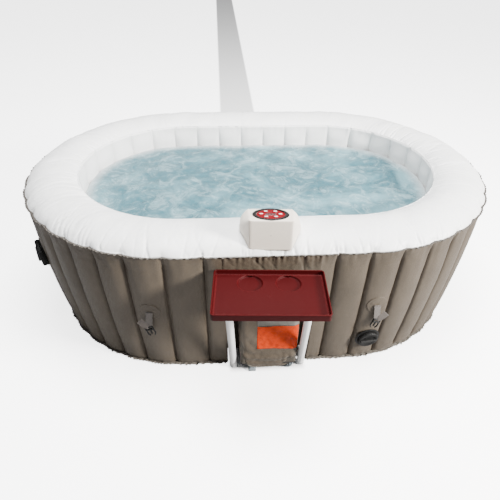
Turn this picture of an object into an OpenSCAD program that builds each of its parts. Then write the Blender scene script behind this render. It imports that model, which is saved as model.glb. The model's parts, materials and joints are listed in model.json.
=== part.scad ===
// Inflatable two-person hot tub with a built-in power unit and a lift-off drink tray.
// Millimetres, +Z up, origin on the floor under the middle of the tub, -Y is the front.

/* [Tub] */
// Overall length of the inflated tub
tub_length = 1900; // [1500:10:2300]
// Overall width of the inflated tub
tub_width = 1280; // [1150:10:1500]
// Height of the top of the rim
tub_height = 616; // [560:2:740]
// Thickness of every coated-fabric skin
skin = 2; // [1.5:0.5:3]
// Gap left between pieces that are welded on the real tub
weld_gap = 0.3; // [0.2:0.1:0.5]
// Running clearance of pieces that slide or lift
slide_gap = 0.5; // [0.3:0.1:1]

/* [Rim] */
// Width of the inflated rim
rim_width = 231; // [210:1:260]
// Height of the inflated rim
rim_height = 139; // [125:1:155]
// Height of the outer weld seam above the rim's centre line
rim_seam_rise = 20; // [15:1:25]
// Width of the weld flange that shows at each seam
flange_width = 6; // [4:0.5:8]
// Thickness of the weld flange
flange_thick = 1.6; // [1:0.1:2]

/* [Walls] */
// How far the outer wall stands back from the rim edge at the seam
wall_top_inset = 5; // [4:0.5:7]
// How far the outer wall stands back from the rim edge at the floor
wall_foot_inset = 65; // [50:1:80]
// Outward bow of the outer wall half way up
wall_bow = 11; // [6:1:14]
// Depth of the crease between two ribs
rib_depth = 12; // [6:1:16]
// Ribs on the right-hand run of the outer wall
ribs_right = 19; // [15:1:22]
// Ribs on the left-hand run of the outer wall
ribs_left = 20; // [15:1:22]
// Width of the wide ribs beside the power unit on the left
wide_rib = 137.5; // [120:0.5:145]
// Half width of the flat bay in front of the power unit, right side
bay_right = 215; // [205:1:225]
// Half width of the flat bay in front of the power unit, left side
bay_left = 225; // [210:1:235]
// Distance from the rim edge to the water side of the inner wall
inner_inset = 208; // [200:1:225]
// Ribs around the inner wall
inner_ribs = 36; // [30:2:42]
// Depth of the creases of the inner wall
inner_rib_depth = 9; // [5:1:12]

/* [Floor] */
// Thickness of the padded mat under the tub floor
mat_thick = 22; // [15:1:30]
// Radius of the air channel round the foot of the inner wall
channel_radius = 16; // [12:1:20]

/* [Power unit] */
// Half width of the recess that the unit stands in
recess_half = 156; // [150:1:165]
// Depth of the recess, from the rim edge
recess_depth = 145; // [140:1:155]
// Width of the unit's case
case_width = 216; // [212:1:218]
// Depth of the unit's case
case_depth = 124; // [120:1:130]
// Height of the unit's case
case_height = 404; // [396:1:410]
// Wall of the plastic case
case_wall = 3; // [2.5:0.5:4]
// Ground clearance under the unit
unit_clearance = 48; // [46:1:52]
// Diameter of the caster wheels
wheel_dia = 41; // [36:1:43]
// Width of the caster wheels
wheel_width = 17; // [14:1:20]
// Trail of the casters
caster_trail = 12; // [9:1:14]
// Radius of a motor shaft
shaft_radius = 4; // [3:0.5:5]
// Running clearance of a shaft in its bore
shaft_gap = 0.05; // [0.02:0.01:0.08]

/* [Control head] */
// Distance of the head's middle to the right of the unit's middle, negative to the left
head_shift = -6; // [-8:1:0]
// Width of the head's front face
head_front = 140; // [134:1:150]
// Width of the head behind its bevels
head_back = 200; // [190:1:210]
// Depth of the head, front to back
head_depth = 125; // [122:1:135]
// Height of the top front edge above the rim's top
head_rise = 80; // [76:1:100]
// Slope of the head's top face
head_slope = 13; // [8:1:18]
// Diameter of the black bezel
bezel_dia = 118; // [112:1:118]
// Diameter of the red panel inside the bezel
panel_dia = 92; // [86:1:96]
// Diameter of a push button
button_dia = 17; // [14:0.5:18]
// Radius of the circle the buttons stand on
button_ring = 31; // [30:0.5:33]
// Number of push buttons
button_count = 6; // [6:1:6]
// Travel of a push button
button_travel = 0.8; // [0.5:0.1:1]
// Width of the display window
display_width = 34; // [28:1:36]
// Height of the display window
display_height = 19; // [14:1:22]

/* [Drink tray] */
// Width of the tray
tray_width = 360; // [340:1:440]
// Depth of the tray
tray_depth = 216; // [205:1:250]
// Height of the tray's rim above the floor
tray_height = 520; // [500:1:530]
// Height of the tray's lip
tray_lip = 25; // [18:1:32]
// Drop from the top of the lip to the tray's floor
tray_sink = 16; // [10:1:20]
// Distance of the tray's middle to the right of the unit's middle, negative to the left
tray_shift = -14; // [-20:1:0]
// Angle that the tray and the control head stand turned by, seen from above
unit_turn = -3.5; // [-5:0.5:0]
// Thickness of the tray's plastic
tray_wall = 3; // [2:0.5:4]
// Diameter of a cup recess
cup_dia = 82; // [76:1:84]
// Depth of a cup recess
cup_depth = 7; // [5:1:12]
// Distance between the two cup recesses
cup_spacing = 124; // [115:1:150]
// Diameter of a tray leg
leg_dia = 27; // [24:1:30]
// Wall of a tray leg
leg_wall = 2; // [1.5:0.5:3]
// How far a leg leans forward from foot to tray
leg_lean = 169; // [120:1:180]

/* [Straps and valves] */
// Diameter of the round strap patches
patch_dia = 80; // [70:1:90]
// Width of the strap webbing
strap_width = 25; // [20:1:30]
// Length of the strap above its buckle
strap_length = 66; // [55:1:80]
// Height of the strap slots above the floor
strap_height = 318; // [280:1:360]
// Diameter of the drain cap
drain_cap_dia = 80; // [70:1:90]
// Height of the drain valve above the floor
drain_height = 130; // [110:1:160]
// Diameter of the inflation valve's cap
air_cap_dia = 108; // [90:1:115]
// Height of the inflation valve above the floor
air_valve_height = 340; // [320:1:390]

/* [Hidden] */
$fn = 48;

straight = (tub_length - tub_width) / 2;
end_r = tub_width / 2;
full_turn = 360;
half_turn = 180;
arc_run = PI * end_r;
rim_half = rim_width / 2;
rim_centre_r = end_r - rim_half;
rim_centre_z = tub_height - rim_height / 2;
seam_z = rim_centre_z + rim_seam_rise;
sheet_top = skin;
floor_z = sheet_top + 2 * weld_gap + mat_thick;
foot_z = sheet_top + weld_gap;
inner_r = end_r - inner_inset;
rim_steps = 48;
// Room for the straight runs between the rows of the bowed outer wall
bow_gap = wall_bow * 0.2;

// Perimeter of the straight-sided oval of end radius r.
function oval_run(r) = 4 * straight + 2 * PI * r;

// Wraps a run into 0 .. total.
function wrapped(run, total) = ((run % total) + total) % total;

// Turn of the outward direction at a run along the oval of radius r, 0 at the front.
function oval_turn(run, r) =
    let (m = wrapped(run, oval_run(r)), arc = PI * r)
    m < straight ? 0
    : m < straight + arc ? (m - straight) / r * half_turn / PI
    : m < 3 * straight + arc ? half_turn
    : m < 3 * straight + 2 * arc ? half_turn + (m - 3 * straight - arc) / r * half_turn / PI
    : full_turn;

// Centre that the outward direction leaves from, which slides along the straight sides.
function oval_centre(run, r) =
    let (total = oval_run(r), m = wrapped(run, total), arc = PI * r)
    m < straight ? m
    : m < straight + arc ? straight
    : m < 3 * straight + arc ? 2 * straight + arc - m
    : m < 3 * straight + 2 * arc ? -straight
    : m - total;

// Point at a run along the oval of radius r, moved out by off.
function oval_point(run, r, off) =
    let (a = oval_turn(run, r), c = oval_centre(run, r))
    [c + (r + off) * sin(a), -(r + off) * cos(a)];

// Outer wall: offset from the rim edge at height z, before the creases.
function wall_offset(z) =
    let (t = 1 - z / seam_z)
    -wall_top_inset * (1 - t) - wall_foot_inset * t + 4 * wall_bow * t * (1 - t);

// Lean of the outer wall at height z.
function wall_lean(z) = atan((wall_offset(z + 1) - wall_offset(z - 1)) / 2);

total_run = oval_run(end_r);
left_start = bay_left + 2 * wide_rib;
middle_run = total_run * 0.47;
pitch_right = (middle_run - bay_right) / ribs_right;
pitch_left = (total_run - middle_run - left_start) / ribs_left;
seam_runs = concat(
    [for (k = [0 : ribs_right]) bay_right + k * pitch_right],
    [for (k = [ribs_left - 1 : -1 : 0]) total_run - left_start - k * pitch_left],
    [total_run - bay_left - wide_rib, total_run - bay_left]);
rib_steps = 4;

// Depth of a crease a share u across a rib, 0 on the crown.
function crease(u, depth) = -depth * pow(2 * u - 1, 2);

// Columns of the outer wall as [run, crease offset], from the right of the bay to its left.
wall_columns = concat(
    [for (k = [0 : 2]) [recess_half + (bay_right - recess_half) * k / 3, -rib_depth * k / 3]],
    [for (i = [0 : len(seam_runs) - 2]) for (k = [0 : rib_steps - 1])
        let (u = k / rib_steps)
        [seam_runs[i] + (seam_runs[i + 1] - seam_runs[i]) * u, crease(u, rib_depth)]],
    [for (k = [3 : -1 : 0])
        [total_run - recess_half - (bay_left - recess_half) * k / 3, -rib_depth * k / 3]]);
wall_rows = [foot_z, seam_z * 0.1, seam_z * 0.36, seam_z * 0.68, seam_z];
rib_centre_left = total_run - bay_left - 1.5 * wide_rib;
rib_centre_right = bay_right + 1.5 * pitch_right;
back_run = total_run / 2;
drain_inner_run = straight + (rib_centre_right - straight) * inner_r / end_r;
strap_runs = [rib_centre_left, rib_centre_right, back_run + 400, back_run - 400];
air_valve_turn = 294;
air_valve_run = 3 * straight + arc_run + end_r * (air_valve_turn - half_turn) * PI / half_turn;

// Last step of the rim section under the seam.
seam_step = floor(asin(2 * rim_seam_rise / rim_height) * rim_steps / full_turn);

// Rim section, counter-clockwise; under the seam it stays behind the outer wall.
function rim_section(inset) =
    [for (i = [0 : rim_steps - 1])
        let (a = full_turn * i / rim_steps,
             r = rim_centre_r + (rim_half - inset) * cos(a),
             z = rim_centre_z + (rim_height / 2 - inset) * sin(a),
             limit = end_r + wall_offset(min(z, seam_z)) - rib_depth - skin - bow_gap - inset)
        each i == seam_step ? [[min(r, limit), z], [limit, seam_z + 2 * weld_gap - inset]]
        : [[z < seam_z + 1 ? min(r, limit) : r, z]]];

unit_setback = 8;
unit_front = -(end_r - unit_setback);
unit_back = unit_front + case_depth;
recess_back = -(end_r - recess_depth);
case_half = case_width / 2;
case_top = unit_clearance + case_height;
case_mid = (unit_front + unit_back) / 2;
plate_thick = 5;
shell_split = case_mid + 8;
corner = 12;
caster_x = 67;
caster_inset = 26;
caster_front_y = unit_front + caster_inset;
caster_rear_y = unit_back - caster_inset;
pivot_radius = 4;
pump_z = 112;
blower_z = 226;
rotor_y = case_mid - 2;
heater_z = 322;
pipe_radius = 15;
pipe_wall = 2;
pipe_x = 62;
inlet_z = 120;

head_front_y = -(end_r - 15);
head_back_y = head_front_y + head_depth;
head_top_z = tub_height + head_rise;
head_low_z = rim_centre_z + 12;
head_wall = 3;
head_bevel = 58;
head_shoulder = 44;
slice_thick = 0.1;
panel_y = head_front_y + head_depth / 2 - 3;
panel_z = head_top_z - (panel_y - head_front_y) * tan(head_slope);
bezel_thick = 3;
neck_half = 50;
neck_depth = 80;
neck_y = neck_depth / 2 + case_wall + 1 - unit_back;
sleeve_gap = 4;

tray_back_y = -(end_r + 6);
tray_floor_z = tray_height - tray_sink;
hook_thick = 3;
// Keeps the cup wells clear of the hooks behind them
cup_back = cup_dia / 2 + 2 * tray_wall + hook_thick + 1;
leg_half = 133;
leg_foot_y = -(end_r - 52);
leg_top_y = leg_foot_y - leg_lean;
leg_mid_shift = tray_shift + (tray_back_y - leg_top_y) * sin(unit_turn);
tip_height = 22;
tip_floor = 4;
tip_wall = 1.5;
socket_height = 24;
leg_top_z = tray_floor_z - tray_wall - weld_gap - 2;

patch_thick = 2.4;
web_thick = 1.8;
buckle_length = 52;

// Sweeps a section, drawn as (distance from the centre line, height), round the oval.
module oval_sweep() {
    for (side = [-1, 1]) {
        translate([side * straight, 0, 0])
            rotate([0, 0, -90 * side])
                rotate_extrude(angle = half_turn, $fn = 96) children();
        rotate([0, 0, 90 - 90 * side])
            translate([-straight, 0, 0])
                rotate([90, 0, 90])
                    linear_extrude(2 * straight) children();
    }
}

// Flat oval plate of end radius r.
module oval_plate(r, low, thick) {
    translate([0, 0, low])
        linear_extrude(thick)
            union() {
                square([2 * straight, 2 * r], center = true);
                for (side = [-1, 1]) translate([side * straight, 0]) circle(r, $fn = 96);
            }
}

// Rounded rectangle centred on the origin.
module round_rect(w, d, r) {
    square([w - 2 * r, d], center = true);
    square([w, d - 2 * r], center = true);
    for (x = [-1, 1], y = [-1, 1])
        translate([x * (w / 2 - r), y * (d / 2 - r)]) circle(r);
}

// Block from one corner to the other.
module block(low, high) {
    translate(low) cube(high - low);
}

// Rod along X from x1 to x2.
module rod_x(x1, x2, y, z, r) {
    translate([x1, y, z]) rotate([0, 90, 0]) cylinder(h = x2 - x1, r = r);
}

// Rod along Y from y1 to y2.
module rod_y(y1, y2, x, z, r) {
    translate([x, y1, z]) rotate([-90, 0, 0]) cylinder(h = y2 - y1, r = r);
}

// Places a piece on the crown of the outer wall: local -Y points out, Z up the wall.
module on_wall(run, z, out) {
    a = oval_turn(run, end_r);
    p = oval_point(run, end_r, wall_offset(z) + out);
    translate([p[0], p[1], z]) rotate([0, 0, a]) rotate([wall_lean(z), 0, 0]) children();
}

// Places a piece that hangs straight down in front of the outer wall.
module beside_wall(run, z, out) {
    p = oval_point(run, end_r, wall_offset(z) + out);
    translate([p[0], p[1], z]) rotate([0, 0, oval_turn(run, end_r)]) children();
}

// Round piece on the wall, from out1 to out2 along the outward direction.
module wall_disc(r, out1, out2) {
    rotate([90, 0, 0]) translate([0, 0, out1]) cylinder(h = out2 - out1, r = r);
}

// Places a piece on the head's sloping top face, Z along its normal.
module on_panel(lift) {
    at_head()
        translate([0, panel_y, panel_z])
            rotate([-head_slope, 0, 0]) translate([0, 0, lift]) children();
}

// Shifts and turns a piece that is drawn on the unit's middle line as the control head stands.
module at_head() {
    translate([head_shift, panel_y, 0]) rotate([0, 0, unit_turn]) translate([0, -panel_y, 0]) children();
}

// Places a piece at one of the push buttons.
module at_button(k) {
    a = full_turn * k / button_count;
    on_panel(0) translate([button_ring * cos(a), button_ring * sin(a), 0]) children();
}

// ---- Inflated body ----

module outer_wall() {
    rows = len(wall_rows);
    cols = len(wall_columns);
    outside = [for (c = wall_columns) for (z = wall_rows)
        let (p = oval_point(c[0], end_r, wall_offset(z) + c[1])) [p[0], p[1], z]];
    inside = [for (c = wall_columns) for (z = wall_rows)
        let (p = oval_point(c[0], end_r, wall_offset(z) + c[1] - skin)) [p[0], p[1], z]];
    shift = rows * cols;
    sides = [for (i = [0 : cols - 2]) for (j = [0 : rows - 2])
        let (a = i * rows + j, b = a + rows)
        each [[a, a + 1, b + 1], [a, b + 1, b],
              [shift + a, shift + b + 1, shift + a + 1], [shift + a, shift + b, shift + b + 1]]];
    edges = [for (i = [0 : cols - 2]) let (a = i * rows, b = a + rows, t = rows - 1)
        each [[a, b, shift + b], [a, shift + b, shift + a],
              [a + t, shift + b + t, b + t], [a + t, shift + a + t, shift + b + t]]];
    last = (cols - 1) * rows;
    ends = [for (j = [0 : rows - 2])
        each [[j, shift + j, shift + j + 1], [j, shift + j + 1, j + 1],
              [last + j, shift + last + j + 1, shift + last + j],
              [last + j, last + j + 1, shift + last + j + 1]]];
    color([0.47, 0.42, 0.35]) polyhedron(concat(outside, inside), concat(sides, edges, ends));
}

module rim_bolster() {
    hole = neck_half + sleeve_gap + skin + weld_gap;
    color([0.93, 0.93, 0.92])
        difference() {
            oval_sweep() difference() {
                polygon(rim_section(0));
                polygon(rim_section(skin));
            }
            translate([0, -neck_y, 0])
                block([-hole, -neck_depth / 2 - sleeve_gap - skin - weld_gap, 0],
                      [hole, neck_depth / 2 + sleeve_gap + skin + weld_gap, 2 * tub_height]);
        }
}

module rim_sleeve() {
    wide = 2 * (neck_half + sleeve_gap);
    deep = neck_depth + 2 * sleeve_gap;
    color([0.9, 0.9, 0.89])
        translate([0, -neck_y, tub_height - rim_height])
            linear_extrude(rim_height)
                difference() {
                    square([wide + 2 * skin, deep + 2 * skin], center = true);
                    square([wide, deep], center = true);
                }
}

// Outline of the inner wall; out moves it towards the outer wall.
function inner_outline(out) =
    let (total = oval_run(inner_r), steps = inner_ribs * rib_steps)
    [for (i = [0 : steps - 1])
        let (u = (i % rib_steps) / rib_steps)
        oval_point((i + rib_steps / 2) * total / steps, inner_r,
                   -crease(u, inner_rib_depth) - inner_rib_depth + out)];

inner_reach = inner_inset - rim_half - skin;
inner_top = rim_centre_z - rim_height / 2 * sqrt(1 - pow(inner_reach / rim_half, 2)) - weld_gap - 2;

module inner_wall() {
    color([0.95, 0.95, 0.95])
        difference() {
            translate([0, 0, foot_z])
                linear_extrude(inner_top - foot_z)
                    difference() {
                        polygon(inner_outline(skin));
                        polygon(inner_outline(0));
                    }
            pipe_holes();
        }
}

// Holes where the unit's water pipes, the air pipe and the drain pass the skins.
module pipe_holes() {
    hole = pipe_radius + pipe_wall + weld_gap;
    for (x = [-pipe_x, pipe_x])
        rod_y(recess_back - skin - 1, -inner_r + 2 * inner_rib_depth, x,
              x < 0 ? inlet_z : heater_z, hole);
    drain_line(hole, 2 * skin);
}

// Drain pipe from just behind the outer wall into the tub, extra longer at its inner end.
module drain_line(r, extra) {
    a = oval_turn(rib_centre_right, end_r);
    p = oval_point(rib_centre_right, end_r, wall_offset(drain_height));
    start = skin + rib_depth;
    reach = end_r + wall_offset(drain_height) - start - inner_r + 2 * inner_rib_depth;
    translate([p[0], p[1], drain_height])
        rotate([0, 0, a])
            rotate([-90, 0, 0])
                translate([0, 0, start]) cylinder(h = reach + extra, r = r);
}

module tub_floor() {
    color([0.93, 0.94, 0.94]) oval_plate(inner_r - inner_rib_depth - weld_gap, floor_z, skin);
}

module floor_mat() {
    color([0.75, 0.76, 0.78])
        oval_plate(inner_r - inner_rib_depth - weld_gap, sheet_top + weld_gap, mat_thick);
}

module base_sheet() {
    color([0.3, 0.28, 0.26])
        difference() {
            oval_plate(end_r - wall_foot_inset, 0, skin);
            block([-recess_half, -end_r, -1], [recess_half, recess_back - skin, 2 * skin]);
        }
}

// Internal ties that hold the two walls together at the inner creases.
module wall_webs() {
    total = oval_run(inner_r);
    low = foot_z + 8;
    high = tub_height - rim_height - 2;
    near = inner_r + skin + weld_gap;
    color([0.85, 0.86, 0.86])
        for (k = [0 : inner_ribs - 1]) {
            run = (k + 0.5) * total / inner_ribs;
            a = oval_turn(run, inner_r);
            c = oval_centre(run, inner_r);
            beside_recess = abs(c) < recess_half + 4 * skin && (a < 1 || a > full_turn - 1);
            low_far = end_r + wall_offset(low) - rib_depth - skin - bow_gap;
            high_far = end_r + wall_offset(high) - rib_depth - skin - bow_gap;
            crosses_drain = abs(run - drain_inner_run) < 3 * pipe_radius;
            if (!beside_recess && !crosses_drain)
                translate([c, 0, 0])
                    rotate([90, 0, a - 90])
                        linear_extrude(1, center = true)
                            polygon([[near, low], [low_far, low], [high_far, high], [near, high]]);
        }
}

module rim_seam_flange() {
    low = seam_z + weld_gap;
    color([0.45, 0.42, 0.38])
        oval_sweep()
            translate([end_r - wall_top_inset + weld_gap, low])
                square([flange_width, flange_thick]);
}

module base_seam_flange() {
    r = end_r + wall_offset(foot_z + 6) + weld_gap;
    color([0.45, 0.42, 0.38])
        difference() {
            oval_sweep() translate([r, foot_z + 4]) square([flange_width, flange_thick]);
            block([-recess_half, -2 * end_r, 0], [recess_half, 0, tub_height]);
        }
}

header_gap = 30;

// Flat strip of wall that closes the top of the recess above the tray.
module header_panel() {
    front = end_r + wall_offset(case_top + header_gap) - 1;
    color([0.47, 0.42, 0.35])
        block([-recess_half + weld_gap, -front, case_top + header_gap],
              [recess_half - weld_gap, -front + skin, seam_z - weld_gap]);
}

// Three-sided lining of the recess that the power unit stands in.
module recess_lining() {
    front = end_r - wall_foot_inset - 2;
    top = tub_height - rim_height - 2;
    half = recess_half - skin - weld_gap;
    color([0.4, 0.36, 0.31])
        difference() {
            block([-half - skin, recess_back - skin, foot_z], [half + skin, recess_back, top]);
            pipe_holes();
        }
    color([0.4, 0.36, 0.31])
        for (side = [-1, 1])
            block([side > 0 ? half : -half - skin, -front, foot_z],
                  [side > 0 ? half + skin : -half, recess_back - skin, top]);
}

module air_channel() {
    r = inner_r - 2 * inner_rib_depth - channel_radius - 4;
    color([0.86, 0.88, 0.9])
        difference() {
            oval_sweep()
                translate([r, floor_z + skin + weld_gap])
                    difference() {
                        intersection() {
                            circle(channel_radius);
                            translate([-channel_radius, 0]) square(2 * channel_radius);
                        }
                        intersection() {
                            circle(channel_radius - pipe_wall);
                            translate([-channel_radius, pipe_wall]) square(2 * channel_radius);
                        }
                    }
        }
}

// ---- Power unit ----

// Outline of the unit's case, shrunk by inset.
module case_outline(inset) {
    translate([0, case_mid]) round_rect(case_width - 2 * inset, case_depth - 2 * inset, corner - inset);
}

// Closed case shell, before it is split in two.
module case_shell() {
    difference() {
        translate([0, 0, unit_clearance + plate_thick + weld_gap])
            linear_extrude(case_height - plate_thick - weld_gap) case_outline(0);
        translate([0, 0, unit_clearance + plate_thick + case_wall])
            linear_extrude(case_height - plate_thick - 2 * case_wall) case_outline(case_wall);
        translate([-neck_half - weld_gap, -neck_y - neck_depth / 2 - weld_gap, 0])
            cube([2 * neck_half + 2 * weld_gap, neck_depth + 2 * weld_gap, 2 * case_top]);
        for (x = [-pipe_x, pipe_x])
            rod_y(unit_back - 3 * case_wall, unit_back + 1, x, x < 0 ? inlet_z : heater_z,
                  pipe_radius + weld_gap);
        gland_rod(case_wall, gland_thread + weld_gap);
    }
}

gland_inset = 30;
gland_y = unit_back - gland_inset;
gland_thread = 7;
gland_rim = 4;
gland_drop = 16;
gland_rise = 4;
cord_hole = 4.25;

// Upright rod through the case's floor at the cord gland, reaching beyond both its ends by over.
module gland_rod(over, r) {
    translate([0, gland_y, unit_clearance - gland_drop - over])
        cylinder(h = gland_drop + plate_thick + weld_gap + case_wall + gland_rise + 2 * over, r = r);
}

module unit_case_front() {
    color([0.8, 0.8, 0.79])
        intersection() {
            case_shell();
            block([-case_width, unit_front - 1, 0], [case_width, shell_split - weld_gap / 2, case_top]);
        }
}

module unit_case_back() {
    color([0.75, 0.75, 0.74])
        intersection() {
            case_shell();
            block([-case_width, shell_split + weld_gap / 2, 0], [case_width, unit_back + 1, case_top]);
        }
}

module unit_base_plate() {
    color([0.25, 0.26, 0.27])
        difference() {
            translate([0, 0, unit_clearance])
                linear_extrude(plate_thick) case_outline(0);
            for (y = [caster_front_y, caster_rear_y])
                translate([caster_x, y, 0])
                    cylinder(h = case_top, r = pivot_radius + shaft_gap);
            gland_rod(0, gland_thread + weld_gap);
        }
}

foot_x = -61;
foot_size = 30;
foot_inset = 6;
foot_skin = 4;
foot_corner = 5;

module unit_feet() {
    color([0.5, 0.52, 0.54])
        for (y = [unit_front + foot_size / 2 + foot_inset, unit_back - foot_size / 2 - foot_inset])
            translate([foot_x, y, 0])
                difference() {
                    linear_extrude(unit_clearance - weld_gap)
                        round_rect(foot_size, foot_size, foot_corner);
                    translate([0, 0, foot_skin])
                        linear_extrude(unit_clearance)
                            round_rect(foot_size - 2 * foot_skin, foot_size - 2 * foot_skin, 3);
                }
}

caster_pad = 3;
caster_pad_r = 15;
caster_cheek = 2.5;
caster_arm = 7;

// Two-legged caster fork with its pivot pin.
module caster_forks(y) {
    r = wheel_dia / 2;
    cheek = caster_cheek;
    half = wheel_width / 2 + slide_gap;
    top = unit_clearance - slide_gap;
    color([0.2, 0.2, 0.21]) {
        translate([caster_x, y, top - caster_pad]) cylinder(h = caster_pad, r = caster_pad_r);
        translate([caster_x, y, top - 1]) cylinder(h = plate_thick + 1, r = pivot_radius);
        for (side = [-1, 1])
            difference() {
                translate([caster_x - caster_arm - 1, y + side * (half + cheek / 2) - cheek / 2,
                           r - caster_arm])
                    cube([caster_trail + 2 * caster_arm + 1, cheek, top - 2 - r + caster_arm]);
                rod_y(y - 2 * half, y + 2 * half, caster_x + caster_trail, r, 3 + shaft_gap);
            }
    }
}

module caster_wheel(y) {
    r = wheel_dia / 2;
    half = wheel_width / 2;
    color([0.5, 0.53, 0.55]) {
        difference() {
            rod_y(y - half, y + half, caster_x + caster_trail, r, r);
            for (side = [-1, 1])
                rod_y(y + side * half - 3, y + side * half + 3, caster_x + caster_trail, r, r * 0.55);
        }
        rod_y(y - half - 2.8, y + half + 2.8, caster_x + caster_trail, r, 3);
    }
}

neck_overlap = 40;
neck_drop = 48;

// Straight duct that joins the case to the control head through the rim.
module neck_duct() {
    low = case_top - neck_overlap;
    color([0.8, 0.8, 0.79])
        translate([0, -neck_y, low])
            linear_extrude(head_top_z - neck_drop - low)
                difference() {
                    square([2 * neck_half, neck_depth], center = true);
                    square([2 * (neck_half - case_wall), neck_depth - 2 * case_wall], center = true);
                }
}

// Round housing of a pump or blower, axis along X, open for its shaft.
module rotor_housing(x, z, r, wide) {
    difference() {
        rod_x(x, x + wide, rotor_y, z, r);
        rod_x(x + 3, x + wide - 3, rotor_y, z, r - 3);
        rod_x(x + wide - 4, x + wide + 1, rotor_y, z, shaft_radius + shaft_gap);
    }
}

// Motor body with the bore its shaft turns in.
module rotor_motor(x, z, r, long) {
    difference() {
        rod_x(x, x + long, rotor_y, z, r);
        rod_x(x - 1, x + long * 0.6, rotor_y, z, shaft_radius + shaft_gap);
    }
}

// Bladed wheel on a shaft that runs on into the motor.
module rotor(x, z, r, wide, reach, blades) {
    rod_x(x + 6, x + reach, rotor_y, z, shaft_radius);
    rod_x(x + wide - 9, x + wide - 6, rotor_y, z, r);
    for (k = [0 : blades - 1])
        translate([0, rotor_y, z])
            rotate([full_turn * k / blades, 0, 0])
                translate([x + 6, -1, shaft_radius - 1])
                    cube([wide - 13, 2, r - shaft_radius]);
}

rotor_x = -101;
pump_wide = 40;
pump_r = 36;
blower_wide = 46;
blower_r = 50;
motor_gap = 2;

module pump_housing() {
    color([0.2, 0.2, 0.22]) rotor_housing(rotor_x, pump_z, pump_r, pump_wide);
}

module pump_motor() {
    color([0.6, 0.6, 0.62])
        rotor_motor(rotor_x + pump_wide + motor_gap, pump_z, pump_r - 4, 76);
}

module pump_impeller() {
    color([0.85, 0.85, 0.8])
        rotor(rotor_x, pump_z, pump_r - 7, pump_wide, pump_wide + motor_gap + 40, 6);
}

module blower_housing() {
    color([0.2, 0.2, 0.22]) rotor_housing(rotor_x, blower_z, blower_r, blower_wide);
}

module blower_motor() {
    color([0.6, 0.6, 0.62])
        rotor_motor(rotor_x + blower_wide + motor_gap, blower_z, blower_r - 14, 70);
}

module blower_fan() {
    color([0.85, 0.85, 0.8])
        rotor(rotor_x, blower_z, blower_r - 8, blower_wide, blower_wide + motor_gap + 36, 10);
}

heater_r = 22;
heater_reach = 92;

module heater_tube() {
    color([0.75, 0.75, 0.77])
        difference() {
            rod_x(-heater_reach, heater_reach, case_mid, heater_z, heater_r);
            rod_x(-heater_reach + 3, heater_reach - 3, case_mid, heater_z, heater_r - 2);
        }
}

module heater_element() {
    rod = 3.5;
    bend = -heater_reach + 8;
    color([0.6, 0.35, 0.2]) {
        for (side = [-1, 1])
            rod_x(bend, heater_reach - 16, case_mid, heater_z + side * 9, rod);
        translate([bend, case_mid, heater_z]) cylinder(h = 18, r = rod, center = true);
    }
}

board_x = 30;
board_wide = 72;
board_z = 140;
board_tall = 140;
board_thick = 1.6;
board_back = unit_back - case_wall - 8;
relay_x = 45;
relay_size = [40, 28, 45];
relay_z = 160;

module control_board() {
    color([0.1, 0.4, 0.2])
        block([board_x, board_back, board_z],
              [board_x + board_wide, board_back + board_thick, board_z + board_tall]);
    color([0.15, 0.15, 0.16])
        translate([relay_x, board_back - relay_size[1], relay_z]) cube(relay_size);
}

// Water pipes from the unit, through the lining, into the tub.
module unit_pipes() {
    color([0.35, 0.36, 0.38])
        for (x = [-pipe_x, pipe_x])
            difference() {
                rod_y(unit_back - case_wall - 3, -inner_r + inner_rib_depth + 4, x,
                      x < 0 ? inlet_z : heater_z, pipe_radius);
                rod_y(unit_back - 2 * case_wall - 4, -inner_r + inner_rib_depth + 5, x,
                      x < 0 ? inlet_z : heater_z, pipe_radius - pipe_wall);
            }
}

module cable_gland() {
    color([0.08, 0.08, 0.08])
        difference() {
            union() {
                gland_rod(0, gland_thread);
                translate([0, gland_y, unit_clearance - gland_drop])
                    cylinder(h = gland_drop - weld_gap, r = gland_thread + gland_rim);
            }
            gland_rod(1, cord_hole);
        }
}

cover_half = case_half + 4;
cover_front = unit_front - 4;
cover_low = 44;
cover_high = case_top + 4;

// Fabric cover that bulges over the front of the unit.
module pocket_cover() {
    color([0.45, 0.4, 0.34])
        translate([0, 0, cover_low])
            linear_extrude(cover_high - cover_low)
                difference() {
                    translate([-cover_half, cover_front - skin])
                        union() {
                            translate([corner, 0]) square([2 * (cover_half - corner), case_depth / 2]);
                            translate([0, corner]) square([2 * cover_half, case_depth / 2 - corner]);
                            for (x = [corner, 2 * cover_half - corner])
                                translate([x, corner]) circle(corner);
                        }
                    translate([-cover_half + skin, cover_front])
                        union() {
                            translate([corner - skin, 0])
                                square([2 * (cover_half - corner), case_depth]);
                            translate([0, corner - skin])
                                square([2 * (cover_half - skin), case_depth]);
                            for (x = [corner - skin, 2 * cover_half - corner - skin])
                                translate([x, corner - skin]) circle(corner - skin);
                        }
                }
}

patch_front = cover_front - skin - weld_gap;
access_low = [-46, 138];
access_high = [106, 252];
vent_low = [-46, 256];
vent_high = [106, 334];

// Plain orange patch on the pocket cover.
module access_patch() {
    color([0.8, 0.25, 0.1])
        block([access_low[0], patch_front - 1, access_low[1]],
              [access_high[0], patch_front, access_high[1]]);
}

// Plain grey patch above it.
module vent_patch() {
    color([0.4, 0.38, 0.36])
        block([vent_low[0], patch_front - 1, vent_low[1]], [vent_high[0], patch_front, vent_high[1]]);
}

// ---- Control head ----

// Upright slice of the head at y: half width at the foot, half width at the top, shoulder drop.
module head_slice(y, foot_half, top_half, shoulder, drop) {
    top = head_top_z - (y - head_front_y) * tan(head_slope) - drop;
    translate([0, y, 0])
        rotate([90, 0, 0])
            linear_extrude(slice_thick, center = true)
                polygon([[-foot_half, head_low_z], [foot_half, head_low_z], [foot_half, top - shoulder],
                         [top_half, top], [-top_half, top], [-foot_half, top - shoulder]]);
}

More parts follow.
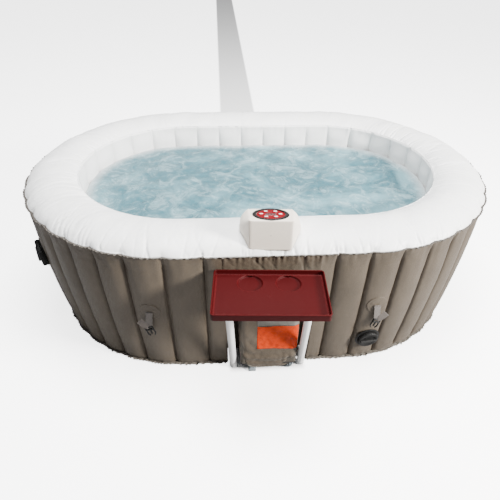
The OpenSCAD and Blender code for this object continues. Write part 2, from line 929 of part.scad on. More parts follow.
head_front_drop = 1;
head_strip_grow = [3, 5];
bezel_rise = 1.5;
key_reach = 20;
stem_radius = 3;
cap_half = 2.5;

// Solid head down to the rim, shrunk by inset and with its sloping top lowered by drop.
module head_block(inset, drop) {
    narrow = head_front / 2 - inset;
    wide = head_back / 2 - inset;
    hull() {
        head_slice(head_front_y + inset + slice_thick / 2, narrow - 2, narrow, head_front_drop, drop);
        head_slice(head_front_y + head_bevel, wide, narrow + head_strip_grow[0], head_shoulder, drop);
        head_slice(head_back_y - inset - slice_thick / 2, wide, narrow + head_strip_grow[1],
                   head_shoulder, drop);
    }
}

// Section of the inflated rim with a clearance, as a bar under the head.
module rim_bar(clear) {
    rotate([90, 0, 90])
        translate([0, 0, -head_back])
            linear_extrude(2 * head_back)
                polygon([for (i = [0 : rim_steps - 1])
                    let (a = full_turn * i / rim_steps)
                    [-rim_centre_r + (rim_half + clear) * cos(a),
                     rim_centre_z + (rim_height / 2 + clear) * sin(a)]]);
}

module control_housing() {
    color([0.88, 0.86, 0.82])
        difference() {
            at_head() head_block(0, 0);
            at_head() head_block(head_wall, head_wall + 2);
            rim_bar(1);
            on_panel(-bezel_thick) cylinder(h = key_reach, r = bezel_dia / 2 + weld_gap);
            on_panel(-key_reach) cylinder(h = 2 * key_reach, r = panel_dia / 2 - 1);
        }
}

module bezel_ring() {
    color([0.1, 0.1, 0.1])
        on_panel(-bezel_thick + weld_gap)
            difference() {
                cylinder(h = bezel_thick + bezel_rise, r = bezel_dia / 2);
                translate([0, 0, -1]) cylinder(h = key_reach, r = panel_dia / 2 + weld_gap);
            }
}

module button_panel() {
    color([0.7, 0.1, 0.13])
        difference() {
            on_panel(-1.5) cylinder(h = 2, r = panel_dia / 2);
            for (k = [0 : button_count - 1])
                at_button(k) cylinder(h = key_reach, r = button_dia / 2 + weld_gap, center = true);
            on_panel(-5)
                translate([-display_width / 2 - weld_gap, -display_height / 2 - weld_gap, 0])
                    cube([display_width + 2 * weld_gap, display_height + 2 * weld_gap, key_reach]);
        }
}

module display_window() {
    color([0.28, 0.1, 0.1])
        on_panel(-1.5)
            translate([-display_width / 2, -display_height / 2, 0])
                cube([display_width, display_height, 2.4]);
}

board_drop = 9;

module key_board() {
    color([0.1, 0.35, 0.2])
        on_panel(-board_drop - board_thick) cylinder(h = board_thick, r = panel_dia / 2 - 6);
    color([0.8, 0.8, 0.8])
        for (k = [0 : button_count - 1])
            at_button(k) translate([0, 0, -board_drop - 0.5]) cylinder(h = 2.5, r = 5);
}

// Push button with a stem that reaches down to its switch.
module push_button(k) {
    stem_low = -board_drop + 2 + button_travel + weld_gap;
    color([0.94, 0.94, 0.94])
        at_button(k) {
            translate([0, 0, -cap_half]) cylinder(h = 2 * cap_half, r = button_dia / 2);
            translate([0, 0, stem_low]) cylinder(h = -stem_low, r = stem_radius);
        }
}

// ---- Drink tray ----

// Places a piece in the tray's own frame: origin under the middle of its back edge, X along it.
module at_tray() {
    translate([tray_shift, tray_back_y, 0]) rotate([0, 0, unit_turn]) children();
}

// Flat rounded block in the tray's frame, moved in by inset, between two heights.
module tray_slab(inset, low, high) {
    translate([0, -tray_depth / 2, low])
        linear_extrude(high - low)
            round_rect(tray_width - 2 * inset, tray_depth - 2 * inset, tray_corner - inset);
}

tray_corner = 10;
socket_wall = 6;

module drink_tray() {
    low = tray_height - tray_lip;
    under = tray_floor_z - tray_wall;
    color([0.36, 0.1, 0.1])
        difference() {
            union() {
                at_tray() difference() {
                    tray_slab(0, low, tray_height);
                    tray_slab(tray_wall, low - 1, under);
                }
                at_tray()
                    for (side = [-1, 1])
                        translate([side * cup_spacing / 2, -cup_back, under - cup_depth])
                            cylinder(h = cup_depth + tray_wall / 2, r = cup_dia / 2 + tray_wall);
                for (side = [-1, 1])
                    translate([leg_x(side, leg_top_z), leg_y(side, leg_top_z), under - socket_height])
                        cylinder(h = socket_height + tray_wall / 2, r = leg_dia / 2 + socket_wall);
                at_tray() tray_hooks(under);
            }
            at_tray() {
                tray_slab(tray_wall, tray_floor_z, tray_height + 1);
                for (side = [-1, 1])
                    translate([side * cup_spacing / 2, -cup_back, tray_floor_z - cup_depth])
                        cylinder(h = tray_lip, r = cup_dia / 2);
            }
            for (side = [-1, 1]) leg_rod(side, leg_dia / 2 + weld_gap, -1, leg_top_z);
        }
}

// Place of a leg's centre line at height z; both legs lean the same way.
function leg_x(side, z) = side * leg_half + leg_mid_shift * z / leg_top_z;
function leg_y(side, z) =
    leg_foot_y + (leg_top_y - leg_foot_y + side * leg_half * sin(unit_turn)) * z / leg_top_z;

// Leaning rod along a leg, cut level at both ends.
module leg_rod(side, r, low, high) {
    across = leg_x(side, leg_top_z) - leg_x(side, 0);
    ahead = leg_y(side, leg_top_z) - leg_y(side, 0);
    reach = sqrt(across * across + ahead * ahead);
    long = sqrt(reach * reach + leg_top_z * leg_top_z);
    intersection() {
        translate([leg_x(side, 0), leg_y(side, 0), 0])
            rotate([0, 0, atan2(ahead, across)])
                rotate([0, atan2(reach, leg_top_z), 0])
                    translate([0, 0, -long / 2]) cylinder(h = 2 * long, r = r);
        block([-tray_width, -2 * end_r, low], [tray_width, 0, high]);
    }
}

module tray_legs() {
    color([0.93, 0.93, 0.93])
        for (side = [-1, 1])
            difference() {
                leg_rod(side, leg_dia / 2, tip_floor, leg_top_z - weld_gap);
                leg_rod(side, leg_dia / 2 - leg_wall, tip_floor - 1, leg_top_z);
            }
}

module leg_tips() {
    color([0.85, 0.85, 0.85])
        for (side = [-1, 1])
            difference() {
                leg_rod(side, leg_dia / 2 + tip_wall, 0, tip_height);
                leg_rod(side, leg_dia / 2 + weld_gap / 3, tip_floor - weld_gap, tip_height + 1);
            }
}

hook_x = 60;
hook_wide = 24;
hook_drop = 24;
bracket_lug = 3;
bracket_foot = 30;

// Two hooks behind the back lip of the tray's underside that drop into the bracket.
module tray_hooks(top) {
    for (side = [-1, 1])
        block([side * hook_x - hook_wide / 2, -tray_wall - hook_thick, tray_height - tray_lip - hook_drop],
              [side * hook_x + hook_wide / 2, -tray_wall + 1, top + 1]);
}

// Bracket on the unit's front with two pockets for the tray's hooks.
module tray_bracket() {
    low = tray_height - tray_lip - hook_drop - slide_gap - bracket_lug;
    high = min(tray_height - tray_lip, tray_floor_z - tray_wall - cup_depth) - slide_gap;
    front = -tray_wall - hook_thick - slide_gap;
    back = -tray_wall + 1 + slide_gap;
    half = hook_wide / 2 + slide_gap;
    plate_half = hook_x + half + bracket_lug;
    color([0.2, 0.2, 0.2])
        difference() {
            union() {
                intersection() {
                    at_tray()
                        for (side = [-1, 1])
                            block([side * hook_x - half - bracket_lug, front - bracket_lug, low],
                                  [side * hook_x + half + bracket_lug, cover_front - tray_back_y, high]);
                    block([-tray_width, 2 * tray_back_y, low], [tray_width, patch_front, high]);
                }
                block([-plate_half, patch_front - bracket_lug, low - bracket_foot],
                      [plate_half, patch_front, high]);
            }
            at_tray()
                for (side = [-1, 1])
                    block([side * hook_x - half, front, low + bracket_lug],
                          [side * hook_x + half, back, high + 1]);
        }
}

// ---- Straps, valves and filter ----

slot_room = 2;
buckle_body = [strap_width + 8, 9, 15.7];
buckle_prong = 6;
buckle_drop = 4.4;

module strap_patches() {
    color([0.46, 0.41, 0.35])
        for (run = strap_runs)
            on_wall(run, strap_height, 0)
                difference() {
                    wall_disc(patch_dia / 2, weld_gap, weld_gap + patch_thick);
                    translate([-strap_width / 2 - slot_room, -5 * slot_room, -slot_room])
                        cube([strap_width + 2 * slot_room, 10 * slot_room, 2 * slot_room]);
                }
}

// Webbing strap that hangs from its slot by a sewn loop, with a side-release buckle half.
module strap(run) {
    out = patch_thick + weld_gap + 1;
    end = -strap_length - buckle_length / 2;
    color([0.44, 0.4, 0.38])
        beside_wall(run, strap_height, out)
            union() {
                translate([-strap_width / 2, -web_thick, -strap_length])
                    cube([strap_width, web_thick, strap_length - 1]);
                rod_x(-strap_width / 2, strap_width / 2, 0, 0, web_thick);
            }
    color([0.06, 0.06, 0.06])
        beside_wall(run, strap_height, out)
            translate([0, -web_thick - buckle_drop, 0]) {
                translate([-buckle_body[0] / 2, 0, -strap_length - buckle_body[2] - weld_gap])
                    cube(buckle_body);
                for (side = [-1, 1])
                    translate([side * strap_width / 2 - buckle_prong / 2, 1, end - 2 * buckle_prong - 2])
                        cube([buckle_prong, buckle_prong, buckle_length / 2]);
                translate([-buckle_prong / 2, 2, end - buckle_prong - 2])
                    cube([buckle_prong, buckle_prong - 2, buckle_length / 2]);
            }
}

valve_ring = [9, 6];
valve_thick = 4;
valve_bore = [19, 26];
cap_thick = [18, 24];
cap_lift = weld_gap + valve_thick + 0.5;

module valve_bodies() {
    color([0.1, 0.1, 0.1]) {
        on_wall(rib_centre_right, drain_height, 0)
            difference() {
                wall_disc(drain_cap_dia / 2 + valve_ring[0], weld_gap, weld_gap + valve_thick);
                wall_disc(valve_bore[0], -1, cap_thick[0]);
            }
        difference() {
            drain_line(pipe_radius + pipe_wall, 0);
            drain_line(pipe_radius, 0);
        }
        on_wall(air_valve_run, air_valve_height, 0)
            difference() {
                wall_disc(air_cap_dia / 2 + valve_ring[1], weld_gap, weld_gap + valve_thick);
                wall_disc(valve_bore[1], -1, cap_thick[1]);
            }
    }
}

// Screw cap with a grip bar across it.
module screw_cap(r, out, thick) {
    difference() {
        wall_disc(r, out, out + thick);
        for (side = [-1, 1])
            translate([side > 0 ? 7 : -r - 7, -out - thick - 1, -r * 0.7])
                cube([r, thick * 0.55, r * 1.4]);
    }
}

module drain_cap() {
    color([0.08, 0.08, 0.08])
        on_wall(rib_centre_right, drain_height, 0)
            screw_cap(drain_cap_dia / 2, cap_lift, cap_thick[0]);
}

module air_valve_cap() {
    color([0.06, 0.06, 0.06])
        on_wall(air_valve_run, air_valve_height, 0)
            screw_cap(air_cap_dia / 2, cap_lift, cap_thick[1]);
}

filter_r = 52;
filter_length = 105;

// Filter pot on the inside of the front wall, with slots for the water.
module filter_unit() {
    back = -inner_r + inner_rib_depth + 8;
    slot = 8;
    color([0.9, 0.91, 0.92])
        difference() {
            rod_y(back, back + filter_length, -pipe_x, inlet_z + 30, filter_r);
            rod_y(back + 4, back + filter_length - 4, -pipe_x, inlet_z + 30, filter_r - 3);
            for (k = [-3 : 3])
                block([-pipe_x + k * 2 * slot - slot / 2, back + filter_length - 6, inlet_z],
                      [-pipe_x + k * 2 * slot + slot / 2, back + filter_length + 1, inlet_z + 60]);
        }
    color([0.6, 0.75, 0.85])
        difference() {
            rod_y(back + 8, back + filter_length - 8, -pipe_x, inlet_z + 30, filter_r - 8);
            rod_y(back + 7, back + filter_length - 7, -pipe_x, inlet_z + 30, filter_r - 24);
        }
}

outer_wall();
rim_bolster();
inner_wall();
tub_floor();
floor_mat();
base_sheet();
wall_webs();
rim_seam_flange();
base_seam_flange();
header_panel();
recess_lining();
rim_sleeve();
air_channel();
pocket_cover();
vent_patch();
access_patch();
unit_case_front();
unit_case_back();
unit_base_plate();
unit_feet();
neck_duct();
caster_forks(caster_front_y);  // caster_forks_front
caster_forks(caster_rear_y);  // caster_forks_rear
caster_wheel(caster_front_y);  // caster_wheel_front
caster_wheel(caster_rear_y);  // caster_wheel_rear
pump_housing();
pump_motor();
pump_impeller();
blower_housing();
blower_motor();
blower_fan();
heater_tube();
heater_element();
control_board();
unit_pipes();
cable_gland();
control_housing();
bezel_ring();
button_panel();
display_window();
key_board();
push_button(0);  // button_1
push_button(1);  // button_2
push_button(2);  // button_3
push_button(3);  // button_4
push_button(4);  // button_5
push_button(5);  // button_6
drink_tray();
tray_legs();
leg_tips();
tray_bracket();
strap_patches();
strap(strap_runs[0]);  // strap_front_left
strap(strap_runs[1]);  // strap_front_right
strap(strap_runs[2]);  // strap_back_left
strap(strap_runs[3]);  // strap_back_right
valve_bodies();
drain_cap();
air_valve_cap();
filter_unit();
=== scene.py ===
"""Looks of an oval inflatable hot tub with a power unit, a control head and a drink tray.

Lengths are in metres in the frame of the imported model: +Z up, -Y towards the power unit.
"""
import json
import math

import bpy
import numpy as np
from mathutils import Matrix, Vector


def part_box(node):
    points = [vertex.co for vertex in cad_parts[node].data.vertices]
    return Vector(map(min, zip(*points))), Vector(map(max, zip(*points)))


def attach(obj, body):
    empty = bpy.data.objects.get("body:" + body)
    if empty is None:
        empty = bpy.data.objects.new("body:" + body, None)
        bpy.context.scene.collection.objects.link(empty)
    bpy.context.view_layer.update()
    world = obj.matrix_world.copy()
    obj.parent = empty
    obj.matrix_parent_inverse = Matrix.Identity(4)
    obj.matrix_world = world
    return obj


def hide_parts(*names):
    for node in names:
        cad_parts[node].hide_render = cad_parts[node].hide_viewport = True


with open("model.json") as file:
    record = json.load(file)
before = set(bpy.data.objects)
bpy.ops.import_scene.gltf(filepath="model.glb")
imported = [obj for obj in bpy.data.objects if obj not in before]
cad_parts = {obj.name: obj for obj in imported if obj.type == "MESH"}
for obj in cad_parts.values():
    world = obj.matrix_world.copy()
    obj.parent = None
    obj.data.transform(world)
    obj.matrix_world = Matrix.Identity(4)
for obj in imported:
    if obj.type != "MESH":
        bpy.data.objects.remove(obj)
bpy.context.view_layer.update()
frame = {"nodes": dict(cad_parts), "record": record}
MM = 0.001

# ---- Driving places, read from the frame -------------------------------------------------

FLANGE_OUT = 1.3 * MM
flange_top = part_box("rim_seam_flange")[1]
# The oval has two straight sides, each twice STRAIGHT long, and two round ends of radius END_R
END_R = flange_top.y - FLANGE_OUT
STRAIGHT = flange_top.x - flange_top.y
# The rim's section is an ellipse: its half width, half height and centre
RIM_HALF = 115.5 * MM
RIM_RISE = 69.5 * MM
RIM_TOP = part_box("rim_bolster")[1].z
RIM_CENTRE_R = END_R - RIM_HALF
RIM_CENTRE_Z = RIM_TOP - RIM_RISE
# The outer wall runs from the foot weld to the rim weld, drawn in below and bowed between
SEAM_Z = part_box("outer_wall")[1].z
FOOT_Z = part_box("outer_wall")[0].z
WALL_TOP_INSET = 5 * MM
WALL_FOOT_INSET = 65 * MM
WALL_BOW = 11 * MM
RIB_DEPTH = 12 * MM
# The bay is the flat stretch at the front, with the recess in its middle
RECESS_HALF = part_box("header_panel")[1].x
BAY_RIGHT = 215 * MM
BAY_LEFT = 225 * MM
WIDE_RIB = 137.5 * MM
RIBS_RIGHT = 19
RIBS_LEFT = 20
# The pool's wall meets the underside of the rim at INNER_SEAM_Z
INNER_R = END_R - 208 * MM
INNER_RIBS = 36
INNER_RIB_DEPTH = 9 * MM
INNER_SEAM_Z = RIM_CENTRE_Z + RIM_RISE * math.sqrt(1 - ((RIM_CENTRE_R - INNER_R) / RIM_HALF) ** 2)
WATER_Z = 0.492
UNIT_TURN = math.radians(-3.5)
ARC = math.pi * END_R
TOTAL_RUN = 4 * STRAIGHT + 2 * ARC


# ---- Shape helpers -------------------------------------------------------------------------

def rng(seed):
    """Random draws that are the same on every run."""
    return np.random.default_rng(seed)


def smooth(t):
    """Smooth step: 0 below 0, 1 above 1, level at both ends."""
    t = np.clip(t, 0.0, 1.0)
    return t * t * (3.0 - 2.0 * t)


def bell(x, width):
    """Gaussian bump of height 1 at x = 0."""
    return np.exp(-(x / width) ** 2)


def drift(a, b, short, long, seed, waves=14):
    """Gentle irregular field: the mean of sine waves with lengths between short and long."""
    draw = rng(seed)
    field = np.zeros(np.broadcast(a, b).shape)
    for _ in range(waves):
        turn = draw.uniform(0, 2 * math.pi)
        wave = 2 * math.pi / draw.uniform(short, long)
        phase = draw.uniform(0, 2 * math.pi)
        field += np.sin(wave * (a * math.cos(turn) + b * math.sin(turn)) + phase)
    return field / math.sqrt(waves)


def gathers(run, short, long, seed):
    """Ridges across a gathered seam: sine waves along the run only, pinched to sharp valleys."""
    draw = rng(seed)
    field = np.zeros(run.shape)
    for _ in range(9):
        wave = 2 * math.pi / draw.uniform(short, long)
        field += np.sin(wave * run + draw.uniform(0, 2 * math.pi))
    return field / 3.0


def creases(run, along, total, count, width, reach, seed, slant=0.5):
    """Short folds that leave a seam at random runs and fade with the distance along the skin."""
    draw = rng(seed)
    field = np.zeros(np.broadcast(run, along).shape)
    for _ in range(count):
        place = draw.uniform(0, total)
        lean = draw.uniform(-slant, slant)
        wide = width * draw.uniform(0.6, 1.5)
        long = reach * draw.uniform(0.4, 1.4)
        gap = run - place - lean * along
        gap = gap - total * np.round(gap / total)
        field += draw.uniform(0.3, 1.0) * bell(gap, wide) * np.exp(-(along / long) ** 1.5)
    return field


def oval(run, radius, off):
    """Point and outward turn at a run along a straight-sided oval of end radius `radius`.

    The centre slides along the straight sides and stands still on the round ends; the point lies
    radius + off from it, in the direction of the turn, which is 0 at the front.
    """
    arc = math.pi * radius
    total = 4 * STRAIGHT + 2 * arc
    m = np.mod(run, total)
    zones = [m < STRAIGHT, m < STRAIGHT + arc, m < 3 * STRAIGHT + arc, m < 3 * STRAIGHT + 2 * arc]
    turn = np.select(zones, [0 * m, (m - STRAIGHT) / radius, 0 * m + math.pi,
                             math.pi + (m - 3 * STRAIGHT - arc) / radius], 2 * math.pi)
    centre = np.select(zones, [m, 0 * m + STRAIGHT, 2 * STRAIGHT + arc - m, 0 * m - STRAIGHT],
                       m - total)
    reach = radius + off
    return centre + reach * np.sin(turn), -reach * np.cos(turn), turn


def wall_offset(z):
    """Outer wall's distance from the rim edge: a straight taper plus a parabolic bow."""
    t = 1 - z / SEAM_Z
    return -WALL_TOP_INSET * (1 - t) - WALL_FOOT_INSET * t + 4 * WALL_BOW * t * (1 - t)


def wall_place(run, z):
    """Matrix of a place on the crown of the outer wall: local -Y points out, Z up the wall."""
    x, y, turn = oval(np.array(run), END_R, wall_offset(z))
    lean = math.atan((wall_offset(z + MM) - wall_offset(z - MM)) / (2 * MM))
    return (Matrix.Translation((float(x), float(y), z)) @ Matrix.Rotation(float(turn), 4, "Z")
            @ Matrix.Rotation(lean, 4, "X"))


def grid_faces(rows, cols, wrap_rows=False, wrap_cols=False):
    """Quads of a grid whose points are numbered row by row."""
    r = np.arange(rows if wrap_rows else rows - 1)
    c = np.arange(cols if wrap_cols else cols - 1)
    rr, cc = np.meshgrid(r, c, indexing="ij")
    r2, c2 = (rr + 1) % rows, (cc + 1) % cols
    quads = np.stack([rr * cols + cc, rr * cols + c2, r2 * cols + c2, r2 * cols + cc], axis=-1)
    return quads.reshape(-1, 4)


def end_fans(rows, cols):
    """Triangles that close the first and last row of a grid round two points added after it."""
    ring = np.arange(cols)
    after = (ring + 1) % cols
    last = (rows - 1) * cols
    low_point = 0 * ring + rows * cols
    high_point = low_point + 1
    return [np.stack([after, ring, low_point, low_point], -1),
            np.stack([last + ring, last + after, high_point, high_point], -1)]


def mesh_object(name, points, quads, uv=None):
    """Object at the origin from an array of points and an array of quads (repeats make triangles)."""
    mesh = bpy.data.meshes.new(name)
    mesh.from_pydata(points.reshape(-1, 3).tolist(), [], [tidy_face(q) for q in quads.tolist()])
    if uv is not None:
        layer = mesh.uv_layers.new(name="UVMap")
        loops = np.zeros(len(mesh.loops), dtype=np.int32)
        mesh.loops.foreach_get("vertex_index", loops)
        layer.data.foreach_set("uv", uv.reshape(-1, 2)[loops].astype(np.float32).ravel())
    mesh.shade_smooth()
    mesh.update()
    piece = bpy.data.objects.new(name, mesh)
    bpy.context.scene.collection.objects.link(piece)
    return piece


def tidy_face(face):
    """A face without repeated corners."""
    return [v for i, v in enumerate(face) if v not in face[:i]]


def surface_object(name, x, y, z, inward=False, **wraps):
    """Object from the X, Y and Z arrays of a surface; inward turns its faces over."""
    points = np.stack([x, y, z + 0 * x], axis=-1)
    quads = grid_faces(*points.shape[:2], **wraps)
    return mesh_object(name, points, quads[:, ::-1] if inward else quads)


def join(parts):
    """One (points, quads) pair from several."""
    points, quads, base = [], [], 0
    for p, q in parts:
        p = p.reshape(-1, 3)
        points.append(p)
        quads.append(q + base)
        base += len(p)
    return np.concatenate(points), np.concatenate(quads)


def placed(matrix, part):
    """A (points, quads) pair moved by a matrix."""
    p = part[0].reshape(-1, 3)
    m = np.array(matrix)
    return p @ m[:3, :3].T + m[:3, 3], part[1]


# Radius at which a turned profile starts and ends, next to its axis
AXIS_R = 0.0001


def lathe(profile, steps):
    """Turned shape about Z: (radius, height) points carried round a full turn."""
    profile = np.array(profile, float)
    a = np.linspace(0, 2 * math.pi, steps, endpoint=False)[:, None]
    points = np.stack([profile[:, 0] * np.cos(a), profile[:, 0] * np.sin(a),
                       profile[:, 1] + 0 * a], axis=-1)
    return points, grid_faces(steps, len(profile), wrap_rows=True)


def rounded(corners, radius, steps=5):
    """Profile with its inner corners rounded: each corner becomes a short quadratic curve."""
    c = np.array(corners, float)
    out = [c[0]]
    for before, here, after in zip(c[:-2], c[1:-1], c[2:]):
        r1 = min(radius, np.linalg.norm(before - here) * 0.45)
        r2 = min(radius, np.linalg.norm(after - here) * 0.45)
        start = here + (before - here) / np.linalg.norm(before - here) * r1
        end = here + (after - here) / np.linalg.norm(after - here) * r2
        for t in np.linspace(0, 1, steps):
            out.append((1 - t) ** 2 * start + 2 * t * (1 - t) * here + t * t * end)
    out.append(c[-1])
    return np.array(out)


def rounded_box(low, high, radius, steps=5):
    """Box with all edges rounded: a sphere's directions pushed out to the box's inner corners."""
    low, high = np.array(low, float), np.array(high, float)
    half = (high - low) / 2
    radius = min(radius, *half)
    n = 2 * (steps + 1)
    k = np.arange(n)
    lower = k < n // 2
    bend = np.where(lower, k, k - n // 2) / steps * 0.5 * math.pi
    angle = np.where(lower, -0.5 * math.pi + bend, bend)
    around = np.arange(4 * (steps + 1))
    quarter, part = around // (steps + 1), around % (steps + 1)
    phi = (quarter + part / steps) * 0.5 * math.pi
    sx = np.where((quarter == 0) | (quarter == 3), 1.0, -1.0)
    sy = np.where(quarter < 2, 1.0, -1.0)
    flat_r = np.cos(angle)[:, None]
    inner = half - radius
    x = sx * inner[0] + radius * flat_r * np.cos(phi)
    y = sy * inner[1] + radius * flat_r * np.sin(phi)
    z = (np.where(lower, -1.0, 1.0) * inner[2] + radius * np.sin(angle))[:, None] + 0 * x
    points = np.stack([x, y, z], axis=-1) + (low + high) / 2
    rows, cols = points.shape[:2]
    quads = grid_faces(rows, cols, wrap_cols=True)
    caps = end_fans(rows, cols)
    return (np.concatenate([points.reshape(-1, 3), [points[0].mean(0), points[-1].mean(0)]]),
            np.concatenate([quads] + caps))


STRIP_SIDES = 16


def strip(path, across, width, thick, edge=0.3):
    """Flat strap: a rounded flat section carried along a path; across is its sideways direction."""
    path = np.array(path, float)
    ahead = np.gradient(path, axis=0)
    ahead /= np.linalg.norm(ahead, axis=1)[:, None]
    side = np.array(across, float)
    side = side - ahead * (ahead @ side)[:, None]
    side /= np.linalg.norm(side, axis=1)[:, None]
    up = np.cross(ahead, side)
    a = np.linspace(0, 2 * math.pi, STRIP_SIDES, endpoint=False)
    sx = np.sign(np.cos(a)) * np.abs(np.cos(a)) ** edge * width / 2
    sy = np.sign(np.sin(a)) * np.abs(np.sin(a)) ** edge * thick / 2
    points = path[:, None] + side[:, None] * sx[None, :, None] + up[:, None] * sy[None, :, None]
    quads = grid_faces(len(path), STRIP_SIDES, wrap_cols=True)
    caps = []
    for row, flip in ((0, False), (len(path) - 1, True)):
        ring = row * STRIP_SIDES + np.arange(STRIP_SIDES)
        fan = np.stack([ring[0] + 0 * ring[1:-1], ring[2:], ring[1:-1], ring[1:-1]], -1)
        caps.append(fan[:, [0, 2, 1, 1]] if flip else fan)
    return points, np.concatenate([quads] + caps)


def strip_uv(count, width, length):
    """UV array of a strap made by strip: across its width and along its length, in metres."""
    row, col = np.divmod(np.arange(count * STRIP_SIDES), STRIP_SIDES)
    across = np.cos(col / STRIP_SIDES * 2 * math.pi) * width / 2
    return np.stack([across, row / count * length], -1)


def curve_through(points, count):
    """Smooth path through a few points (Catmull-Rom), sampled `count` times."""
    p = np.array(points, float)
    p = np.concatenate([[2 * p[0] - p[1]], p, [2 * p[-1] - p[-2]]])
    t = np.linspace(0, len(p) - 3 - 1e-6, count)
    i = t.astype(int)
    f = (t - i)[:, None]
    a, b, c, d = p[i], p[i + 1], p[i + 2], p[i + 3]
    return 0.5 * (2 * b + (c - a) * f + (2 * a - 5 * b + 4 * c - d) * f ** 2
                  + (3 * b - a - 3 * c + d) * f ** 3)


def tube(path, radius, steps):
    """Round rod along a path, closed at both ends."""
    path = np.array(path, float)
    radius = np.broadcast_to(radius, (len(path),))
    ahead = np.gradient(path, axis=0)
    ahead /= np.linalg.norm(ahead, axis=1)[:, None]
    ref = np.array([0.0, 0.0, 1.0]) if abs(ahead[0, 2]) < 0.9 else np.array([0.0, 1.0, 0.0])
    side = np.cross(ahead, ref)
    side /= np.linalg.norm(side, axis=1)[:, None]
    up = np.cross(side, ahead)
    a = np.linspace(0, 2 * math.pi, steps, endpoint=False)
    ring = side[:, None] * np.cos(a)[None, :, None] + up[:, None] * np.sin(a)[None, :, None]
    points = path[:, None] + ring * radius[:, None, None]
    quads = grid_faces(len(path), steps, wrap_cols=True)[:, ::-1]
    fans = [fan[:, [1, 0, 2, 3]] for fan in end_fans(len(path), steps)]
    return (np.concatenate([points.reshape(-1, 3), [path[0], path[-1]]]),
            np.concatenate([quads] + fans))


# ---- Materials -----------------------------------------------------------------------------

def new_group(name, inputs, outputs):
    """Empty shader node group with named sockets; returns it with its input and output nodes."""
    group = bpy.data.node_groups.new(name, "ShaderNodeTree")
    for label, kind, value in inputs:
        socket = group.interface.new_socket(name=label, in_out="INPUT", socket_type=kind)
        if value is not None:
            socket.default_value = value
    for label, kind in outputs:
        group.interface.new_socket(name=label, in_out="OUTPUT", socket_type=kind)
    return group, group.nodes.new("NodeGroupInput"), group.nodes.new("NodeGroupOutput")


def node(tree, kind, **settings):
    """New node; keywords set its properties, and in_NAME keywords its input sockets."""
    made = tree.nodes.new(kind)
    for key, value in settings.items():
        if key.startswith("in_"):
            made.inputs[key[3:].replace("_", " ")].default_value = value
        else:
            setattr(made, key, value)
    return made


def math_node(tree, operation, a, b=None, clamp=False):
    """Math node of two values or sockets; returns its output socket."""
    made = tree.nodes.new("ShaderNodeMath")
    made.operation = operation
    made.use_clamp = clamp
    for slot, value in enumerate((a, b)):
        if value is None:
            continue
        if isinstance(value, (int, float)):
            made.inputs[slot].default_value = value
        else:
            tree.links.new(value, made.inputs[slot])
    return made.outputs[0]


def ramp(tree, source, start, gain):
    """0 up to the start, then rising by the gain to 1: (source - start) * gain, clamped."""
    return math_node(tree, "MULTIPLY", math_node(tree, "SUBTRACT", source, start), gain, clamp=True)


FLOAT, VECTOR = "NodeSocketFloat", "NodeSocketVector"


def make_grain_group():
    """Pebbled skin: cells of two sizes give a height and a mask of the valleys between them."""
    group, inp, out = new_group("Pebble grain", [("Vector", VECTOR, None), ("Scale", FLOAT, 600.0)],
                                [("Height", FLOAT), ("Valleys", FLOAT)])
    big = node(group, "ShaderNodeTexVoronoi", feature="DISTANCE_TO_EDGE")
    small = node(group, "ShaderNodeTexNoise", in_Detail=3.0)
    group.links.new(inp.outputs["Vector"], big.inputs["Vector"])
    group.links.new(inp.outputs["Vector"], small.inputs["Vector"])
    group.links.new(inp.outputs["Scale"], big.inputs["Scale"])
    group.links.new(math_node(group, "MULTIPLY", inp.outputs["Scale"], 1.7), small.inputs["Scale"])
    edge = math_node(group, "MULTIPLY", big.outputs["Distance"], 3.0, clamp=True)
    height = math_node(group, "ADD", edge, math_node(group, "MULTIPLY", small.outputs["Fac"], 0.5))
    group.links.new(height, out.inputs["Height"])
    group.links.new(math_node(group, "SUBTRACT", 1.0, edge, clamp=True), out.inputs["Valleys"])
    return group


def make_mottle_group():
    """Uneven tone: broad and fine noise added, spread about one half."""
    group, inp, out = new_group("Uneven tone", [("Vector", VECTOR, None), ("Scale", FLOAT, 6.0)],
                                [("Tone", FLOAT), ("Fine", FLOAT)])
    broad = node(group, "ShaderNodeTexNoise", in_Detail=4.0, in_Roughness=0.6)
    fine = node(group, "ShaderNodeTexNoise", in_Detail=5.0, in_Roughness=0.7)
    for made, ratio in ((broad, 1.0), (fine, 14.0)):
        group.links.new(inp.outputs["Vector"], made.inputs["Vector"])
        group.links.new(math_node(group, "MULTIPLY", inp.outputs["Scale"], ratio), made.inputs["Scale"])
    spread = math_node(group, "SUBTRACT", broad.outputs["Fac"], 0.5)
    tone = math_node(group, "ADD", math_node(group, "MULTIPLY", spread, 1.6), 0.5, clamp=True)
    group.links.new(tone, out.inputs["Tone"])
    group.links.new(fine.outputs["Fac"], out.inputs["Fine"])
    return group


def make_edge_group():
    """Scuffed edges with a painted highlight: how sharply the surface turns outwards, from the
    pointiness, broken up by noise.
    """
    group, inp, out = new_group("Edge scuff and highlight", [("Vector", VECTOR, None), ("Sharpness", FLOAT, 12.0)],
                                [("Mask", FLOAT)])
    geometry = node(group, "ShaderNodeNewGeometry")
    noise = node(group, "ShaderNodeTexNoise", in_Scale=120.0, in_Detail=4.0)
    group.links.new(inp.outputs["Vector"], noise.inputs["Vector"])
    mask = ramp(group, geometry.outputs["Pointiness"], 0.505, inp.outputs["Sharpness"])
    group.links.new(math_node(group, "MULTIPLY", mask, noise.outputs["Fac"], clamp=True),
                    out.inputs["Mask"])
    return group


